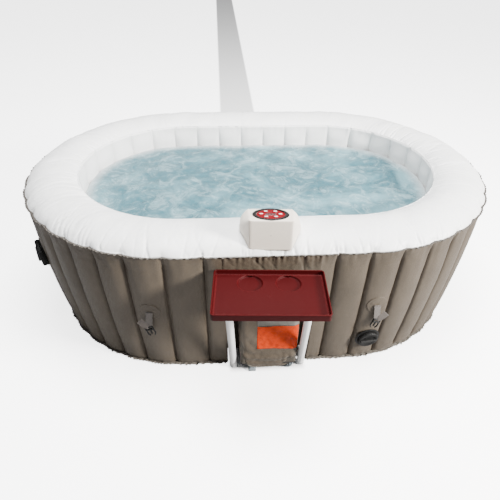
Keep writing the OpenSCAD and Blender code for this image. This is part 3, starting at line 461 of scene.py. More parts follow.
def make_weave_group():
    """Woven webbing on a UV map: two crossed waves give the over-and-under height."""
    group, inp, out = new_group("Woven ribs", [("Vector", VECTOR, None)], [("Height", FLOAT)])
    waves = []
    for angle, scale in ((0.0, 260.0), (90.0, 190.0)):
        turn = node(group, "ShaderNodeMapping")
        turn.inputs["Rotation"].default_value = (0, 0, math.radians(angle + 45))
        wave = node(group, "ShaderNodeTexWave", in_Scale=scale, in_Distortion=0.4)
        group.links.new(inp.outputs["Vector"], turn.inputs["Vector"])
        group.links.new(turn.outputs["Vector"], wave.inputs["Vector"])
        waves.append(wave.outputs["Fac"])
    group.links.new(math_node(group, "MULTIPLY", *waves), out.inputs["Height"])
    return group


GRAIN = make_grain_group()
MOTTLE = make_mottle_group()
EDGE_SCUFF_AND_HIGHLIGHT = make_edge_group()
WEAVE = make_weave_group()


def place_group(tree, group, vector, **values):
    """Places a group node, feeds its Vector and sets its other inputs."""
    made = tree.nodes.new("ShaderNodeGroup")
    made.node_tree = group
    tree.links.new(vector, made.inputs["Vector"])
    for key, value in values.items():
        made.inputs[key].default_value = value
    return made


def mix_colour(tree, fac, a, b):
    """Colour mix; a and b are colours or sockets."""
    made = tree.nodes.new("ShaderNodeMix")
    made.data_type = "RGBA"
    tree.links.new(fac, made.inputs["Factor"])
    for name, value in (("A", a), ("B", b)):
        socket = [s for s in made.inputs if s.name == name and s.type == "RGBA"][0]
        if isinstance(value, tuple):
            socket.default_value = (*value, 1.0)
        else:
            tree.links.new(value, socket)
    return [s for s in made.outputs if s.type == "RGBA"][0]


def start_material(name):
    """New material: its tree, its shader and its Object coordinate socket."""
    material = bpy.data.materials.new(name)
    material.use_nodes = True
    tree = material.node_tree
    shader = tree.nodes["Principled BSDF"]
    where = tree.nodes.new("ShaderNodeTexCoord")
    return material, tree, shader, where


def add_bump(tree, shader, height, distance):
    """Bump from a height socket into the shader's normal."""
    bump = node(tree, "ShaderNodeBump", in_Strength=1.0, in_Distance=distance)
    tree.links.new(height, bump.inputs["Height"])
    tree.links.new(bump.outputs["Normal"], shader.inputs["Normal"])


def spread_roughness(tree, shader, source, low, high):
    """Roughness that varies between low and high with a mask."""
    span = math_node(tree, "MULTIPLY", source, high - low)
    tree.links.new(math_node(tree, "ADD", span, low), shader.inputs["Roughness"])


def skin_material(name, dark, light, grain_scale, depth, rough, tone_scale=5.0, sheen=0.0,
                  shine=0.35):
    """Coated fabric or film: uneven tone, a pebbled bump and painted shade in the grain's valleys."""
    material, tree, shader, where = start_material(name)
    vector = where.outputs["Object"]
    tone = place_group(tree, MOTTLE, vector, Scale=tone_scale)
    grain = place_group(tree, GRAIN, vector, Scale=grain_scale)
    base = mix_colour(tree, tone.outputs["Tone"], dark, light)
    # Painted shade: the grain's valleys are darkened towards 0.6 of the dark colour.
    valleys = math_node(tree, "MULTIPLY", grain.outputs["Valleys"], 0.35)
    shade = tuple(0.6 * c for c in dark)
    tree.links.new(mix_colour(tree, valleys, base, shade), shader.inputs["Base Color"])
    spread_roughness(tree, shader, tone.outputs["Fine"], rough - 0.08, rough + 0.1)
    add_bump(tree, shader, grain.outputs["Height"], depth)
    shader.inputs["Sheen Weight"].default_value = sheen
    shader.inputs["Specular IOR Level"].default_value = shine
    return material


def plastic_material(name, colour, rough, scuff_and_highlight_colour=None, texture=900.0, coat=0.0, shine=0.5):
    """Moulded plastic: fine spark-eroded texture, faint uneven tone and lighter edges, part scuffing and
    part painted highlight.
    """
    material, tree, shader, where = start_material(name)
    vector = where.outputs["Object"]
    tone = place_group(tree, MOTTLE, vector, Scale=9.0)
    dark = tuple(0.88 * c for c in colour)
    base = mix_colour(tree, tone.outputs["Tone"], dark, colour)
    # Lighter colour on the convex edges: part scuffing, part painted highlight.
    if scuff_and_highlight_colour:
        scuff_and_highlight = place_group(tree, EDGE_SCUFF_AND_HIGHLIGHT, vector, Sharpness=14.0)
        base = mix_colour(tree, scuff_and_highlight.outputs["Mask"], base, scuff_and_highlight_colour)
    tree.links.new(base, shader.inputs["Base Color"])
    grain = node(tree, "ShaderNodeTexNoise", in_Scale=texture, in_Detail=2.0)
    tree.links.new(vector, grain.inputs["Vector"])
    add_bump(tree, shader, grain.outputs["Fac"], 0.06 * MM)
    spread_roughness(tree, shader, tone.outputs["Fine"], rough - 0.06, rough + 0.08)
    shader.inputs["Coat Weight"].default_value = coat
    shader.inputs["Coat Roughness"].default_value = 0.2
    shader.inputs["Specular IOR Level"].default_value = shine
    return material


def metal_material(name, colour, rough):
    """Brushed metal: stretched noise along X streaks its roughness and its height."""
    material, tree, shader, where = start_material(name)
    stretch = node(tree, "ShaderNodeMapping")
    stretch.inputs["Scale"].default_value = (30.0, 900.0, 900.0)
    tree.links.new(where.outputs["Object"], stretch.inputs["Vector"])
    streak = node(tree, "ShaderNodeTexNoise", in_Scale=1.0, in_Detail=3.0)
    tree.links.new(stretch.outputs["Vector"], streak.inputs["Vector"])
    dark = tuple(0.75 * c for c in colour)
    tree.links.new(mix_colour(tree, streak.outputs["Fac"], dark, colour), shader.inputs["Base Color"])
    shader.inputs["Metallic"].default_value = 1.0
    spread_roughness(tree, shader, streak.outputs["Fac"], rough - 0.1, rough + 0.15)
    add_bump(tree, shader, streak.outputs["Fac"], 0.00003)
    return material


def webbing_material(name, colour):
    """Woven nylon on the strap's own UV map, with painted shade in the low spots of the weave."""
    material, tree, shader, where = start_material(name)
    weave = place_group(tree, WEAVE, where.outputs["UV"])
    # Painted shade: the weave's low spots take 0.45 of the strap's colour.
    dark = tuple(0.45 * c for c in colour)
    tree.links.new(mix_colour(tree, weave.outputs["Height"], dark, colour), shader.inputs["Base Color"])
    add_bump(tree, shader, weave.outputs["Height"], 0.0004)
    spread_roughness(tree, shader, weave.outputs["Height"], 0.6, 0.8)
    shader.inputs["Sheen Weight"].default_value = 0.3
    return material


def board_material(name):
    """Circuit board: fine grid of tracks as lighter lines on lacquered green."""
    material, tree, shader, where = start_material(name)
    brick = node(tree, "ShaderNodeTexBrick", in_Scale=90.0)
    brick.inputs["Color1"].default_value = (0.01, 0.09, 0.03, 1)
    brick.inputs["Color2"].default_value = (0.015, 0.12, 0.04, 1)
    brick.inputs["Mortar"].default_value = (0.10, 0.30, 0.12, 1)
    brick.inputs["Mortar Size"].default_value = 0.03
    tree.links.new(where.outputs["Object"], brick.inputs["Vector"])
    tree.links.new(brick.outputs["Color"], shader.inputs["Base Color"])
    spread_roughness(tree, shader, brick.outputs["Fac"], 0.3, 0.5)
    return material


def water_material():
    """Aerated water: clouds of foam over teal, whiter in front and to the right.

    The UV map's U is the share from the middle (0) to the wall (1); there the water thins to a
    soft clear edge.
    """
    material, tree, shader, where = start_material("bubbling_water")
    vector = where.outputs["Object"]
    swirl = node(tree, "ShaderNodeTexNoise", in_Scale=2.4, in_Detail=7.0, in_Roughness=0.62,
                 in_Distortion=1.6)
    froth = node(tree, "ShaderNodeTexNoise", in_Scale=13.0, in_Detail=9.0, in_Roughness=0.72,
                 in_Distortion=0.9)
    flecks = node(tree, "ShaderNodeTexNoise", in_Scale=85.0, in_Detail=6.0, in_Roughness=0.8)
    for made in (swirl, froth, flecks):
        tree.links.new(vector, made.inputs["Vector"])
    axes = node(tree, "ShaderNodeSeparateXYZ")
    tree.links.new(vector, axes.inputs[0])
    lean = math_node(tree, "SUBTRACT", math_node(tree, "MULTIPLY", axes.outputs["X"], 0.35),
                     axes.outputs["Y"])
    cloud = math_node(tree, "MULTIPLY", math_node(tree, "SUBTRACT", swirl.outputs["Fac"], 0.48), 5.0)
    cloud = math_node(tree, "ADD", math_node(tree, "ADD", cloud, lean), 0.25, True)
    lace = ramp(tree, froth.outputs["Fac"], 0.46, 5.0)
    speck = ramp(tree, flecks.outputs["Fac"], 0.53, 4.0)
    teal = mix_colour(tree, cloud, (0.034, 0.105, 0.130), (0.135, 0.26, 0.295))
    pale = mix_colour(tree, math_node(tree, "MULTIPLY", lace, 0.28), teal, (0.46, 0.58, 0.61))
    foam = math_node(tree, "MULTIPLY", math_node(tree, "MULTIPLY", speck, lace), cloud)
    white = mix_colour(tree, math_node(tree, "MULTIPLY", foam, 0.9), pale, (0.85, 0.89, 0.9))
    share = node(tree, "ShaderNodeSeparateXYZ")
    tree.links.new(where.outputs["UV"], share.inputs[0])
    edge = ramp(tree, share.outputs["X"], 0.86, 7.1)
    edge = math_node(tree, "MULTIPLY", edge, edge)
    thin = mix_colour(tree, math_node(tree, "MULTIPLY", edge, 0.6), white, (0.7, 0.76, 0.77))
    tree.links.new(thin, shader.inputs["Base Color"])
    add_bump(tree, shader, math_node(tree, "ADD", froth.outputs["Fac"],
                                     math_node(tree, "MULTIPLY", flecks.outputs["Fac"], 0.4)), 0.006)
    spread_roughness(tree, shader, lace, 0.14, 0.42)
    shader.inputs["IOR"].default_value = 1.33
    shader.inputs["Specular IOR Level"].default_value = 0.35
    opaque = math_node(tree, "SUBTRACT", 0.94, math_node(tree, "MULTIPLY", edge, 0.5))
    tree.links.new(opaque, shader.inputs["Alpha"])
    return material


FINISH = {
    "brown_leatherette": skin_material("brown_leatherette", (0.056, 0.0425, 0.0285),
                                       (0.088, 0.068, 0.047), 330.0, 0.00022, 0.52,
                                       tone_scale=7.0, sheen=0.06),
    "white_film": skin_material("white_film", (0.79, 0.795, 0.79), (0.86, 0.86, 0.855), 420.0,
                                0.00005, 0.42, tone_scale=3.0),
    "base_film": skin_material("base_film", (0.075, 0.066, 0.055), (0.14, 0.125, 0.105), 300.0,
                               0.0001, 0.6),
    # The rim's weld flange, under the rim's overhang, takes a darker copy of the base film
    "darker_base_film": skin_material("darker_base_film", (0.035, 0.03, 0.025), (0.07, 0.06, 0.05), 300.0, 0.0001, 0.6),
    "foam": skin_material("foam", (0.42, 0.44, 0.47), (0.55, 0.57, 0.6), 220.0, 0.0004, 0.85),
    "orange_patch": skin_material("orange_patch", (0.40, 0.024, 0.0), (0.54, 0.044, 0.001), 700.0,
                                  0.00012, 0.5, tone_scale=22.0, shine=0.15),
    "grey_patch": skin_material("grey_patch", (0.09, 0.085, 0.075), (0.16, 0.15, 0.135), 700.0,
                                0.00008, 0.42, tone_scale=20.0),
    "unit_plastic": plastic_material("unit_plastic", (0.06, 0.052, 0.043), 0.6, shine=0.3),
    "black_plastic": plastic_material("black_plastic", (0.006, 0.006, 0.006), 0.45,
                                      (0.022, 0.022, 0.022), shine=0.2),
    "grey_rubber": plastic_material("grey_rubber", (0.17, 0.2, 0.22), 0.6, (0.3, 0.33, 0.35)),
    "motor_metal": metal_material("motor_metal", (0.55, 0.55, 0.57), 0.35),
    "heater_metal": metal_material("heater_metal", (0.5, 0.3, 0.17), 0.45),
    "light_plastic": plastic_material("light_plastic", (0.7, 0.71, 0.71), 0.4),
    "circuit_board": board_material("circuit_board"),
    "head_plastic": plastic_material("head_plastic", (0.74, 0.67, 0.58), 0.45, (0.84, 0.79, 0.72),
                                     texture=1300.0),
    "red_panel": plastic_material("red_panel", (0.15, 0.0004, 0.004), 0.5, shine=0.12),
    "display": plastic_material("display", (0.055, 0.012, 0.012), 0.12, coat=0.8),
    "button_white": plastic_material("button_white", (0.82, 0.80, 0.78), 0.35, coat=0.2),
    # The tray's lighter edge colour is a painted highlight, with some scuffing.
    "maroon_plastic": plastic_material("maroon_plastic", (0.030, 0.0006, 0.0010), 0.55,
                                       (0.055, 0.003, 0.0035), texture=700.0, shine=0.08),
    "white_tube": plastic_material("white_tube", (0.82, 0.82, 0.82), 0.3, coat=0.3),
    "leg_tip": plastic_material("leg_tip", (0.62, 0.63, 0.64), 0.5),
    "webbing": webbing_material("webbing", (0.12, 0.098, 0.085)),
    "water": water_material(),
}


def finish_piece(piece, slot, body="root", stands_for=()):
    """Gives a new piece the material of its slot and its body, and hides the CAD nodes it stands for."""
    piece.data.materials.clear()
    piece.data.materials.append(FINISH[slot])
    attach(piece, body)
    if stands_for:
        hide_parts(*stands_for)
    return piece


def thicken(piece, thickness):
    """Gives a skin its thickness on the inner side."""
    solid = piece.modifiers.new("thickness", "SOLIDIFY")
    solid.thickness = thickness
    solid.offset = -1.0
    return piece


# ---- Camera, light and floor ---------------------------------------------------------------

def add_camera():
    """Camera a little left of the middle, above head height, looking down over the front rim."""
    yaw, pitch, roll = 0.0897, 0.6277, 0.0243
    ahead = Vector((math.sin(yaw) * math.cos(pitch), math.cos(yaw) * math.cos(pitch), -math.sin(pitch)))
    right = Vector((math.cos(yaw), -math.sin(yaw), 0))
    up = right.cross(ahead)
    turned_right = right * math.cos(roll) + up * math.sin(roll)
    turned_up = up * math.cos(roll) - right * math.sin(roll)
    data = bpy.data.cameras.new("camera")
    data.sensor_width = 36.0
    data.lens = 34.97
    data.shift_x = -0.0153
    data.shift_y = 0.0068
    camera = bpy.data.objects.new("camera", data)
    basis = Matrix((turned_right, turned_up, -ahead)).transposed().to_4x4()
    camera.matrix_world = Matrix.Translation((-0.165, -1.894, 1.4966)) @ basis
    bpy.context.scene.collection.objects.link(camera)
    bpy.context.scene.camera = camera


def add_area(name, place, aim, size, power, colour=(1, 1, 1)):
    """Square soft light at a place, aimed at a point."""
    data = bpy.data.lights.new(name, "AREA")
    data.energy = power
    data.size = size
    data.color = colour
    lamp = bpy.data.objects.new(name, data)
    way = Vector(aim) - Vector(place)
    lamp.matrix_world = Matrix.Translation(place) @ way.to_track_quat("-Z", "Y").to_matrix().to_4x4()
    bpy.context.scene.collection.objects.link(lamp)


def floor_material():
    """Pale floor: bright to the eye, with a darker bounce so the walls keep their own shade.

    The glow is left out in the recess, where the floor lies in shade.
    """
    material, tree, shader, where = start_material("pale_floor")
    shader.inputs["Roughness"].default_value = 0.95
    shader.inputs["Emission Color"].default_value = (1, 1, 1, 1)
    rays = tree.nodes.new("ShaderNodeLightPath")
    seen = rays.outputs["Is Camera Ray"]
    tone = place_group(tree, MOTTLE, where.outputs["Object"], Scale=0.5)
    bright = mix_colour(tree, tone.outputs["Tone"], (0.9, 0.9, 0.9), (0.93, 0.93, 0.93))
    tree.links.new(mix_colour(tree, seen, (0.3, 0.3, 0.3), bright), shader.inputs["Base Color"])
    axes = node(tree, "ShaderNodeSeparateXYZ")
    tree.links.new(where.outputs["Object"], axes.inputs[0])
    across = math_node(tree, "SUBTRACT", RECESS_HALF, math_node(tree, "ABSOLUTE", axes.outputs["X"]))
    behind = math_node(tree, "ADD", axes.outputs["Y"], END_R - 10 * MM)
    shade = math_node(tree, "MULTIPLY", math_node(tree, "MULTIPLY", across, 60.0, True),
                      math_node(tree, "MULTIPLY", behind, 40.0, True))
    open_floor = math_node(tree, "SUBTRACT", 1.0, shade)
    glow = math_node(tree, "MULTIPLY", math_node(tree, "MULTIPLY", seen, 3.4), open_floor)
    tree.links.new(glow, shader.inputs["Emission Strength"])
    return material


def add_studio():
    """Pale floor, bright even surroundings, a low key light from the front right and a top light."""
    half = 40.0
    corners = half * np.array([[-1, -1, 0], [1, -1, 0], [1, 1, 0], [-1, 1, 0]])
    floor = mesh_object("floor", corners, np.array([[0, 1, 2, 3]]))
    floor.data.materials.append(floor_material())
    world = bpy.data.worlds.new("studio")
    bpy.context.scene.world = world
    world.use_nodes = True
    tree = world.node_tree
    rays = tree.nodes.new("ShaderNodeLightPath")
    glow = math_node(tree, "ADD", math_node(tree, "MULTIPLY", rays.outputs["Is Camera Ray"], 4.2), 0.34)
    tree.nodes["Background"].inputs["Color"].default_value = (0.97, 0.985, 1, 1)
    tree.links.new(glow, tree.nodes["Background"].inputs["Strength"])
    add_area("key", (3.4, -2.4, 2.3), (0.1, -0.3, 0.35), 0.8, 800.0, (1.0, 0.97, 0.93))
    add_area("top", (0.0, -0.3, 4.4), (0.0, 0.1, 0.5), 2.2, 640.0)


# ---- Inflated body -------------------------------------------------------------------------

# The right and left groups of ribs meet here, a little past the middle of the back
BACK_SEAM = TOTAL_RUN * 0.47


def wall_seams():
    """Runs of the outer wall's creases, from the right of the bay round to its left."""
    start_left = BAY_LEFT + 2 * WIDE_RIB
    right = BAY_RIGHT + np.arange(RIBS_RIGHT + 1) * (BACK_SEAM - BAY_RIGHT) / RIBS_RIGHT
    pitch = (TOTAL_RUN - BACK_SEAM - start_left) / RIBS_LEFT
    left = TOTAL_RUN - start_left - np.arange(RIBS_LEFT - 1, -1, -1) * pitch
    return np.concatenate([right, left, TOTAL_RUN - BAY_LEFT - np.array([WIDE_RIB, 0.0])])


SEAMS = wall_seams()


def rib_columns(seams, steps):
    """Runs across the ribs, crowded at the creases, with each run's share u across its rib."""
    t = np.linspace(0, 1, steps, endpoint=False)
    u = 0.5 - 0.5 * np.cos(math.pi * t)
    width = np.diff(seams)
    runs = (seams[:-1, None] + width[:, None] * u).ravel()
    return np.append(runs, seams[-1]), np.append(np.tile(u, len(width)), 0.0)


def rib_shape(u, power=2.3):
    """Inflated rib between two welds: 0 on the crown, -1 in the crease."""
    return -np.abs(2 * u - 1) ** power


def outer_surface(run, u, z):
    """Outer wall's offset: taper and bow, ribs that flatten at both welds, gathers and soft folds.

    The gathers run up the wall and die away within a few centimetres of the rim and foot welds.
    """
    below = SEAM_Z - z
    above = z - FOOT_Z
    swell = 0.42 + 0.58 * smooth(below / 0.06) * smooth((above + 0.01) / 0.06)
    near = np.minimum(u, 1 - u)
    off = wall_offset(z) + RIB_DEPTH * 1.15 * swell * rib_shape(u)
    off = off - 8 * MM * bell(near, 0.045) * swell
    from_weld = np.minimum(below, above)
    off = off - 2.2 * MM * creases(run + 0.4 * z, from_weld, TOTAL_RUN, 150, 7 * MM, 0.12, 9)
    off = off + 2.0 * MM * gathers(run, 0.015, 0.030, 3) * np.exp(-below / 0.016)
    off = off + 1.9 * MM * gathers(run, 0.012, 0.040, 5) * np.exp(-above / 0.022)
    off = off + 0.9 * MM * gathers(run + 0.1 * z, 0.03, 0.09, 8) * np.exp(-below / 0.09)
    off = off - 7 * MM * np.exp(-above / 0.010)
    off = off + 1.1 * MM * drift(run, z * 0.6, 0.06, 0.22, 11) * (0.3 + 0.7 * (1 - near * 2))
    off = off + 0.35 * MM * drift(run, z, 0.012, 0.04, 12, 20)
    weld = TOTAL_RUN - BAY_LEFT - WIDE_RIB * 0.5
    off = off - 1.6 * MM * bell(run - weld - 0.06 * (z - 0.3), 1.8 * MM)
    return np.minimum(off, wall_offset(z) + 1.5 * MM)


# Rib share that the wall has at the edge of the recess, near the crown's 0.5
BAY_SHARE = 0.42


def make_outer_wall():
    """Ribbed leatherette wall, open at the front bay: a grid of (height, run)."""
    steps = 20
    runs, u = rib_columns(SEAMS, steps)
    cols = 12
    to_rib = np.linspace(0, 1, cols, endpoint=False)
    from_rib = np.linspace(1 / cols, 1, cols)
    right = RECESS_HALF + (BAY_RIGHT - RECESS_HALF) * to_rib
    left = TOTAL_RUN - BAY_LEFT + (BAY_LEFT - RECESS_HALF) * from_rib
    runs = np.concatenate([right, runs, left])
    u = np.concatenate([BAY_SHARE - BAY_SHARE * to_rib ** 1.5, u, BAY_SHARE * from_rib ** 0.7])
    z = np.concatenate([np.linspace(FOOT_Z, 0.05, 9, endpoint=False),
                        np.linspace(0.05, 0.5, 22, endpoint=False), np.linspace(0.5, SEAM_Z, 16)])
    off = outer_surface(runs[None, :], u[None, :], z[:, None])
    x, y, _ = oval(runs[None, :] + 0 * off, END_R, off)
    piece = surface_object("outer_wall_skin", x, y, z[:, None])
    thicken(piece, 0.9 * MM)
    finish_piece(piece, "brown_leatherette", stands_for=["outer_wall"])


def rim_surface(run, a):
    """Rim section at turn a: its ellipse, and how far the skin is pushed out along its normal.

    Folds start at the welds and fade up the rim; the tight inside of the ends has more of them.
    """
    r = RIM_CENTRE_R + RIM_HALF * np.cos(a)
    z = RIM_CENTRE_Z + RIM_RISE * np.sin(a)
    outer_skin = (a - math.asin((SEAM_Z - RIM_CENTRE_Z) / RIM_RISE)) * 0.09
    inner_angle = math.pi - math.acos((RIM_CENTRE_R - INNER_R) / RIM_HALF)
    inner_skin = (inner_angle - a) * 0.09
    fold = creases(run, np.maximum(outer_skin, 0), TOTAL_RUN, 230, 3.2 * MM, 0.055, 21)
    fold = fold * np.where(outer_skin > -0.002, 1.0, 0.0)
    ends = smooth((0.97 - np.abs(np.cos(oval(run, END_R, 0 * run)[2]))) / 0.4)
    tuck = creases(run, np.maximum(inner_skin, 0), TOTAL_RUN, 260, 3.6 * MM, 0.06, 22)
    tuck = tuck * np.where(inner_skin > -0.002, 1.0, 0.0) * (0.35 + 0.65 * ends)
    long_fold = creases(run, np.abs(a - 1.2) * 0.1, TOTAL_RUN, 60, 6 * MM, 0.09, 23, slant=0.8)
    push = -5.0 * MM * fold - 4.0 * MM * tuck - 3.0 * MM * long_fold * (0.35 + 0.65 * ends)
    push = push + 1.6 * MM * drift(run, a * 0.1, 0.10, 0.35, 24) * smooth(np.sin(a) * 3)
    push = push + 0.25 * MM * drift(run, a * 0.1, 0.015, 0.05, 25, 18)
    return r, z, np.clip(push, -6.5 * MM, 1.6 * MM)


def make_rim():
    """White inflated rim: the visible arc of its section carried round the oval, then closed below."""
    cols = 1500
    start = math.asin((SEAM_Z + 0.2 * MM - RIM_CENTRE_Z) / RIM_RISE)
    end = math.acos(-(RIM_CENTRE_R - INNER_R - 1 * MM) / RIM_HALF)
    a = np.linspace(start, end, 44)[:, None]
    run = np.linspace(0, TOTAL_RUN, cols, endpoint=False)[None, :]
    r, z, push = rim_surface(run + 0 * a, a + 0 * run)
    nr, nz = np.cos(a) / RIM_HALF, np.sin(a) / RIM_RISE
    size = np.sqrt(nr ** 2 + nz ** 2)
    edge = smooth((a - start) / 0.05) * smooth((end - a) / 0.05)
    r, z = r + push * edge * nr / size, z + push * edge * nz / size
    r = r + 8 * MM * rib_shape(seam_share(run[0]), 3.0) * smooth((0.75 - a) / 0.46)
    below_r = np.array([INNER_R + 6 * MM, INNER_R + 9 * MM, RIM_CENTRE_R, END_R - 40 * MM,
                        END_R - 26 * MM])
    below_z = np.array([RIM_CENTRE_Z, RIM_CENTRE_Z - 45 * MM, RIM_CENTRE_Z - RIM_RISE + 2 * MM,
                        RIM_CENTRE_Z - 40 * MM, RIM_CENTRE_Z + 12 * MM])
    r = np.concatenate([r, below_r[:, None] + 0 * run])
    z = np.concatenate([z, below_z[:, None] + 0 * run])
    x, y, _ = oval(run + 0 * r, END_R, r - END_R)
    piece = surface_object("rim_skin", x, y, z, wrap_rows=True, wrap_cols=True)
    finish_piece(piece, "white_film", stands_for=["rim_bolster"])


def seam_share(run):
    """Share u across its rib for any run of the outer wall; the flat bay counts as a crown."""
    m = np.mod(run, TOTAL_RUN)
    i = np.clip(np.searchsorted(SEAMS, m, side="right") - 1, 0, len(SEAMS) - 2)
    u = (m - SEAMS[i]) / (SEAMS[i + 1] - SEAMS[i])
    bay = (m < SEAMS[0]) | (m >= SEAMS[-1])
    return np.where(bay, 0.5, np.clip(u, 0, 1))


def make_rim_flange():
    """Weld flange under the rim: a thin ruffled strip that waves up and down along the seam."""
    run = np.linspace(0, TOTAL_RUN, 1700, endpoint=False)[None, :]
    u = seam_share(run)
    wave = gathers(run, 0.010, 0.030, 31)
    ends = smooth((np.abs(oval(run, END_R, 0 * run)[0]) - STRAIGHT) / 0.25)
    out = np.linspace(-3.5 * MM, 5.0 * MM, 5)[:, None] + 1.5 * MM * ends
    base = wall_offset(SEAM_Z) + 0.45 * RIB_DEPTH * 1.15 * rib_shape(u)
    flare = smooth((out + 3.5 * MM) / (8 * MM))
    top = SEAM_Z + 0.8 * MM + flare * ((1.6 + 1.2 * ends) * MM * wave + 0.6 * MM)
    under = top - 0.9 * MM
    off = base + out + flare * 0.8 * MM * gathers(run, 0.008, 0.02, 33)
    x, y, _ = oval(run + 0 * top, END_R, off)
    x, y, z = (np.concatenate([over, back[::-1]]) for over, back in ((x, x), (y, y), (top, under)))
    piece = surface_object("rim_weld_flange", x, y, z, inward=True, wrap_rows=True, wrap_cols=True)
    finish_piece(piece, "base_film", stands_for=["rim_seam_flange"])
    piece.data.materials[0] = FINISH["darker_base_film"]


def make_foot_flange():
    """Weld flange at the foot: a crinkled strip that lies out from under the ribs."""
    start = RECESS_HALF + 6 * MM
    run = np.linspace(start, TOTAL_RUN - start, 1500)[None, :]
    u = seam_share(run)
    wave = gathers(run, 0.012, 0.034, 35)
    out = np.linspace(-8 * MM, 7 * MM, 5)[:, None]
    base = wall_offset(FOOT_Z) + 0.45 * RIB_DEPTH * 1.15 * rib_shape(u)
    flare = smooth((out + 8 * MM) / (14 * MM))
    top = FOOT_Z + 4.2 * MM + flare * (2.3 * MM * wave - 0.6 * MM)
    top = np.maximum(top, 1.8 * MM)
    off = base + out + flare * 1.6 * MM * gathers(run, 0.01, 0.03, 36)
    x, y, _ = oval(run + 0 * top, END_R, off)
    piece = surface_object("foot_weld_flange", x, y, top, inward=True)
    thicken(piece, 0.8 * MM)
    finish_piece(piece, "base_film", stands_for=["base_seam_flange"])


def make_inner_wall():
    """White ribbed wall of the pool, from its weld on the rim to the floor."""
    total = 4 * STRAIGHT + 2 * math.pi * INNER_R
    seams = (np.arange(INNER_RIBS + 1) + 0.5) * total / INNER_RIBS
    run, u = rib_columns(seams, 16)
    run, u = run[None, :-1], u[None, :-1]
    z = np.concatenate([np.linspace(0.03, 0.4, 14, endpoint=False),
                        np.linspace(0.4, INNER_SEAM_Z, 22)])[:, None]
    below = INNER_SEAM_Z - z
    swell = 0.12 + 0.88 * smooth(below / 0.075)
    off = INNER_RIB_DEPTH * 1.25 * swell * rib_shape(u) + INNER_RIB_DEPTH * 0.25 - 2 * MM * (1 - swell)
    off = off - 3.5 * MM * bell(np.minimum(u, 1 - u), 0.04) * swell
    off = off + 1.1 * MM * gathers(run, 0.016, 0.04, 41) * np.exp(-below / 0.03)
    off = off + 0.8 * MM * drift(run, z, 0.05, 0.2, 42)
    x, y, _ = oval(run + 0 * off, INNER_R, -off - INNER_RIB_DEPTH * swell)
    piece = surface_object("inner_wall_skin", x, y, z, inward=True, wrap_cols=True)
    thicken(piece, 0.9 * MM)
    finish_piece(piece, "white_film", stands_for=["inner_wall"])


def make_inner_weld():
    """Flat weld band where the rim meets the inner wall: a low rib carried round the oval."""
    run = np.linspace(0, TOTAL_RUN, 900, endpoint=False)[:, None]
    a = np.linspace(0, 2 * math.pi, 10, endpoint=False)[None, :]
    centre = INNER_R - END_R + 1.0 * MM
    off = centre + 1.5 * MM * np.cos(a) + 0.35 * MM * gathers(run, 0.015, 0.05, 43)
    z = INNER_SEAM_Z + 0.4 * MM + 2.2 * MM * np.sin(a)
    x, y, _ = oval(run + 0 * off, END_R, off)
    piece = surface_object("inner_weld_band", x, y, z, inward=True, wrap_rows=True, wrap_cols=True)
    finish_piece(piece, "white_film")


def ring_share(rings):
    """Share of the way from the spine (0) to the wall (1) for each ring, crowded at the wall."""
    return np.linspace(1, 0, rings)[:, None] ** 0.8


def oval_fill(radius, rings, cols, height):
    """Grid that fills the oval: rings shrink from the edge to the spine between the end centres."""
    run = np.linspace(0, 4 * STRAIGHT + 2 * math.pi * radius, cols, endpoint=False)[None, :]
    share = ring_share(rings)
    x, y, turn = oval(run, radius, 0 * run)
    spine = x - radius * np.sin(turn)
    x = spine + (x - spine) * share
    y = y * share
    points = np.stack([x, y, height(x, y)], axis=-1)
    return points, grid_faces(rings, cols, wrap_cols=True)


def make_floor():
    """Padded pool floor with low quilted pillows: |sin x sin y| to the power 0.6."""
    pillow_pitch = 160 * MM

    def height(x, y):
        across = np.sin(x * math.pi / pillow_pitch) * np.sin(y * math.pi / pillow_pitch)
        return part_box("tub_floor")[1].z - 1.0 * MM + 3 * MM * np.abs(across) ** 0.6
    points, quads = oval_fill(INNER_R - INNER_RIB_DEPTH - 2 * MM, 60, 420, height)
    piece = mesh_object("pool_floor", points, quads)
    thicken(piece, 1.5 * MM)
    finish_piece(piece, "white_film", stands_for=["tub_floor"])


def make_water():
    """Bubbling water: swell, chop and small domes of bubbles summed as height fields."""
    draw = rng(51)
    domes = [(draw.uniform(-0.62, 0.62), draw.uniform(-0.34, 0.34), draw.uniform(0.02, 0.06),
              draw.uniform(1.0, 3.0) * MM) for _ in range(70)]

    def height(x, y):
        z = WATER_Z + 2.2 * MM * drift(x, y, 0.12, 0.4, 52)
        z = z + 1.1 * MM * drift(x, y, 0.03, 0.09, 53, 24)
        for px, py, wide, tall in domes:
            z = z + tall * np.exp(-((x - px) ** 2 + (y - py) ** 2) / wide ** 2)
        return z
    rings, cols = ((150, 640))
    points, quads = oval_fill(INNER_R - 1.2 * INNER_RIB_DEPTH, rings, cols, height)
    share = ring_share(rings) + np.zeros((1, cols))
    piece = mesh_object("water_surface", points, quads, uv=np.stack([share, 0 * share], -1))
    finish_piece(piece, "water")


def make_header():
    """Gathered strip of wall over the recess: it carries on the wall's own surface, lifted a hair."""
    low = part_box("header_panel")[0].z - 30 * MM
    half = RECESS_HALF + 8 * MM
    run = np.linspace(-half, half, 420)[None, :]
    z = np.linspace(low, SEAM_Z, 46)[:, None]
    share = BAY_SHARE + 0.08 * smooth((1 - np.abs(run) / half) / 0.3)
    off = outer_surface(np.mod(run, TOTAL_RUN), share, z) + 0.4 * MM
    off = off + 0.7 * MM * gathers(run + 0.1 * z, 0.016, 0.03, 61) * np.exp(-(SEAM_Z - z) / 0.02)
    x, y, _ = oval(run + 0 * off, END_R, off)
    piece = surface_object("recess_header_fabric", x, y, z)
    thicken(piece, 0.9 * MM)
    finish_piece(piece, "brown_leatherette", stands_for=["header_panel"])


# ---- Power unit cover and its patches ---------------------------------------------------------

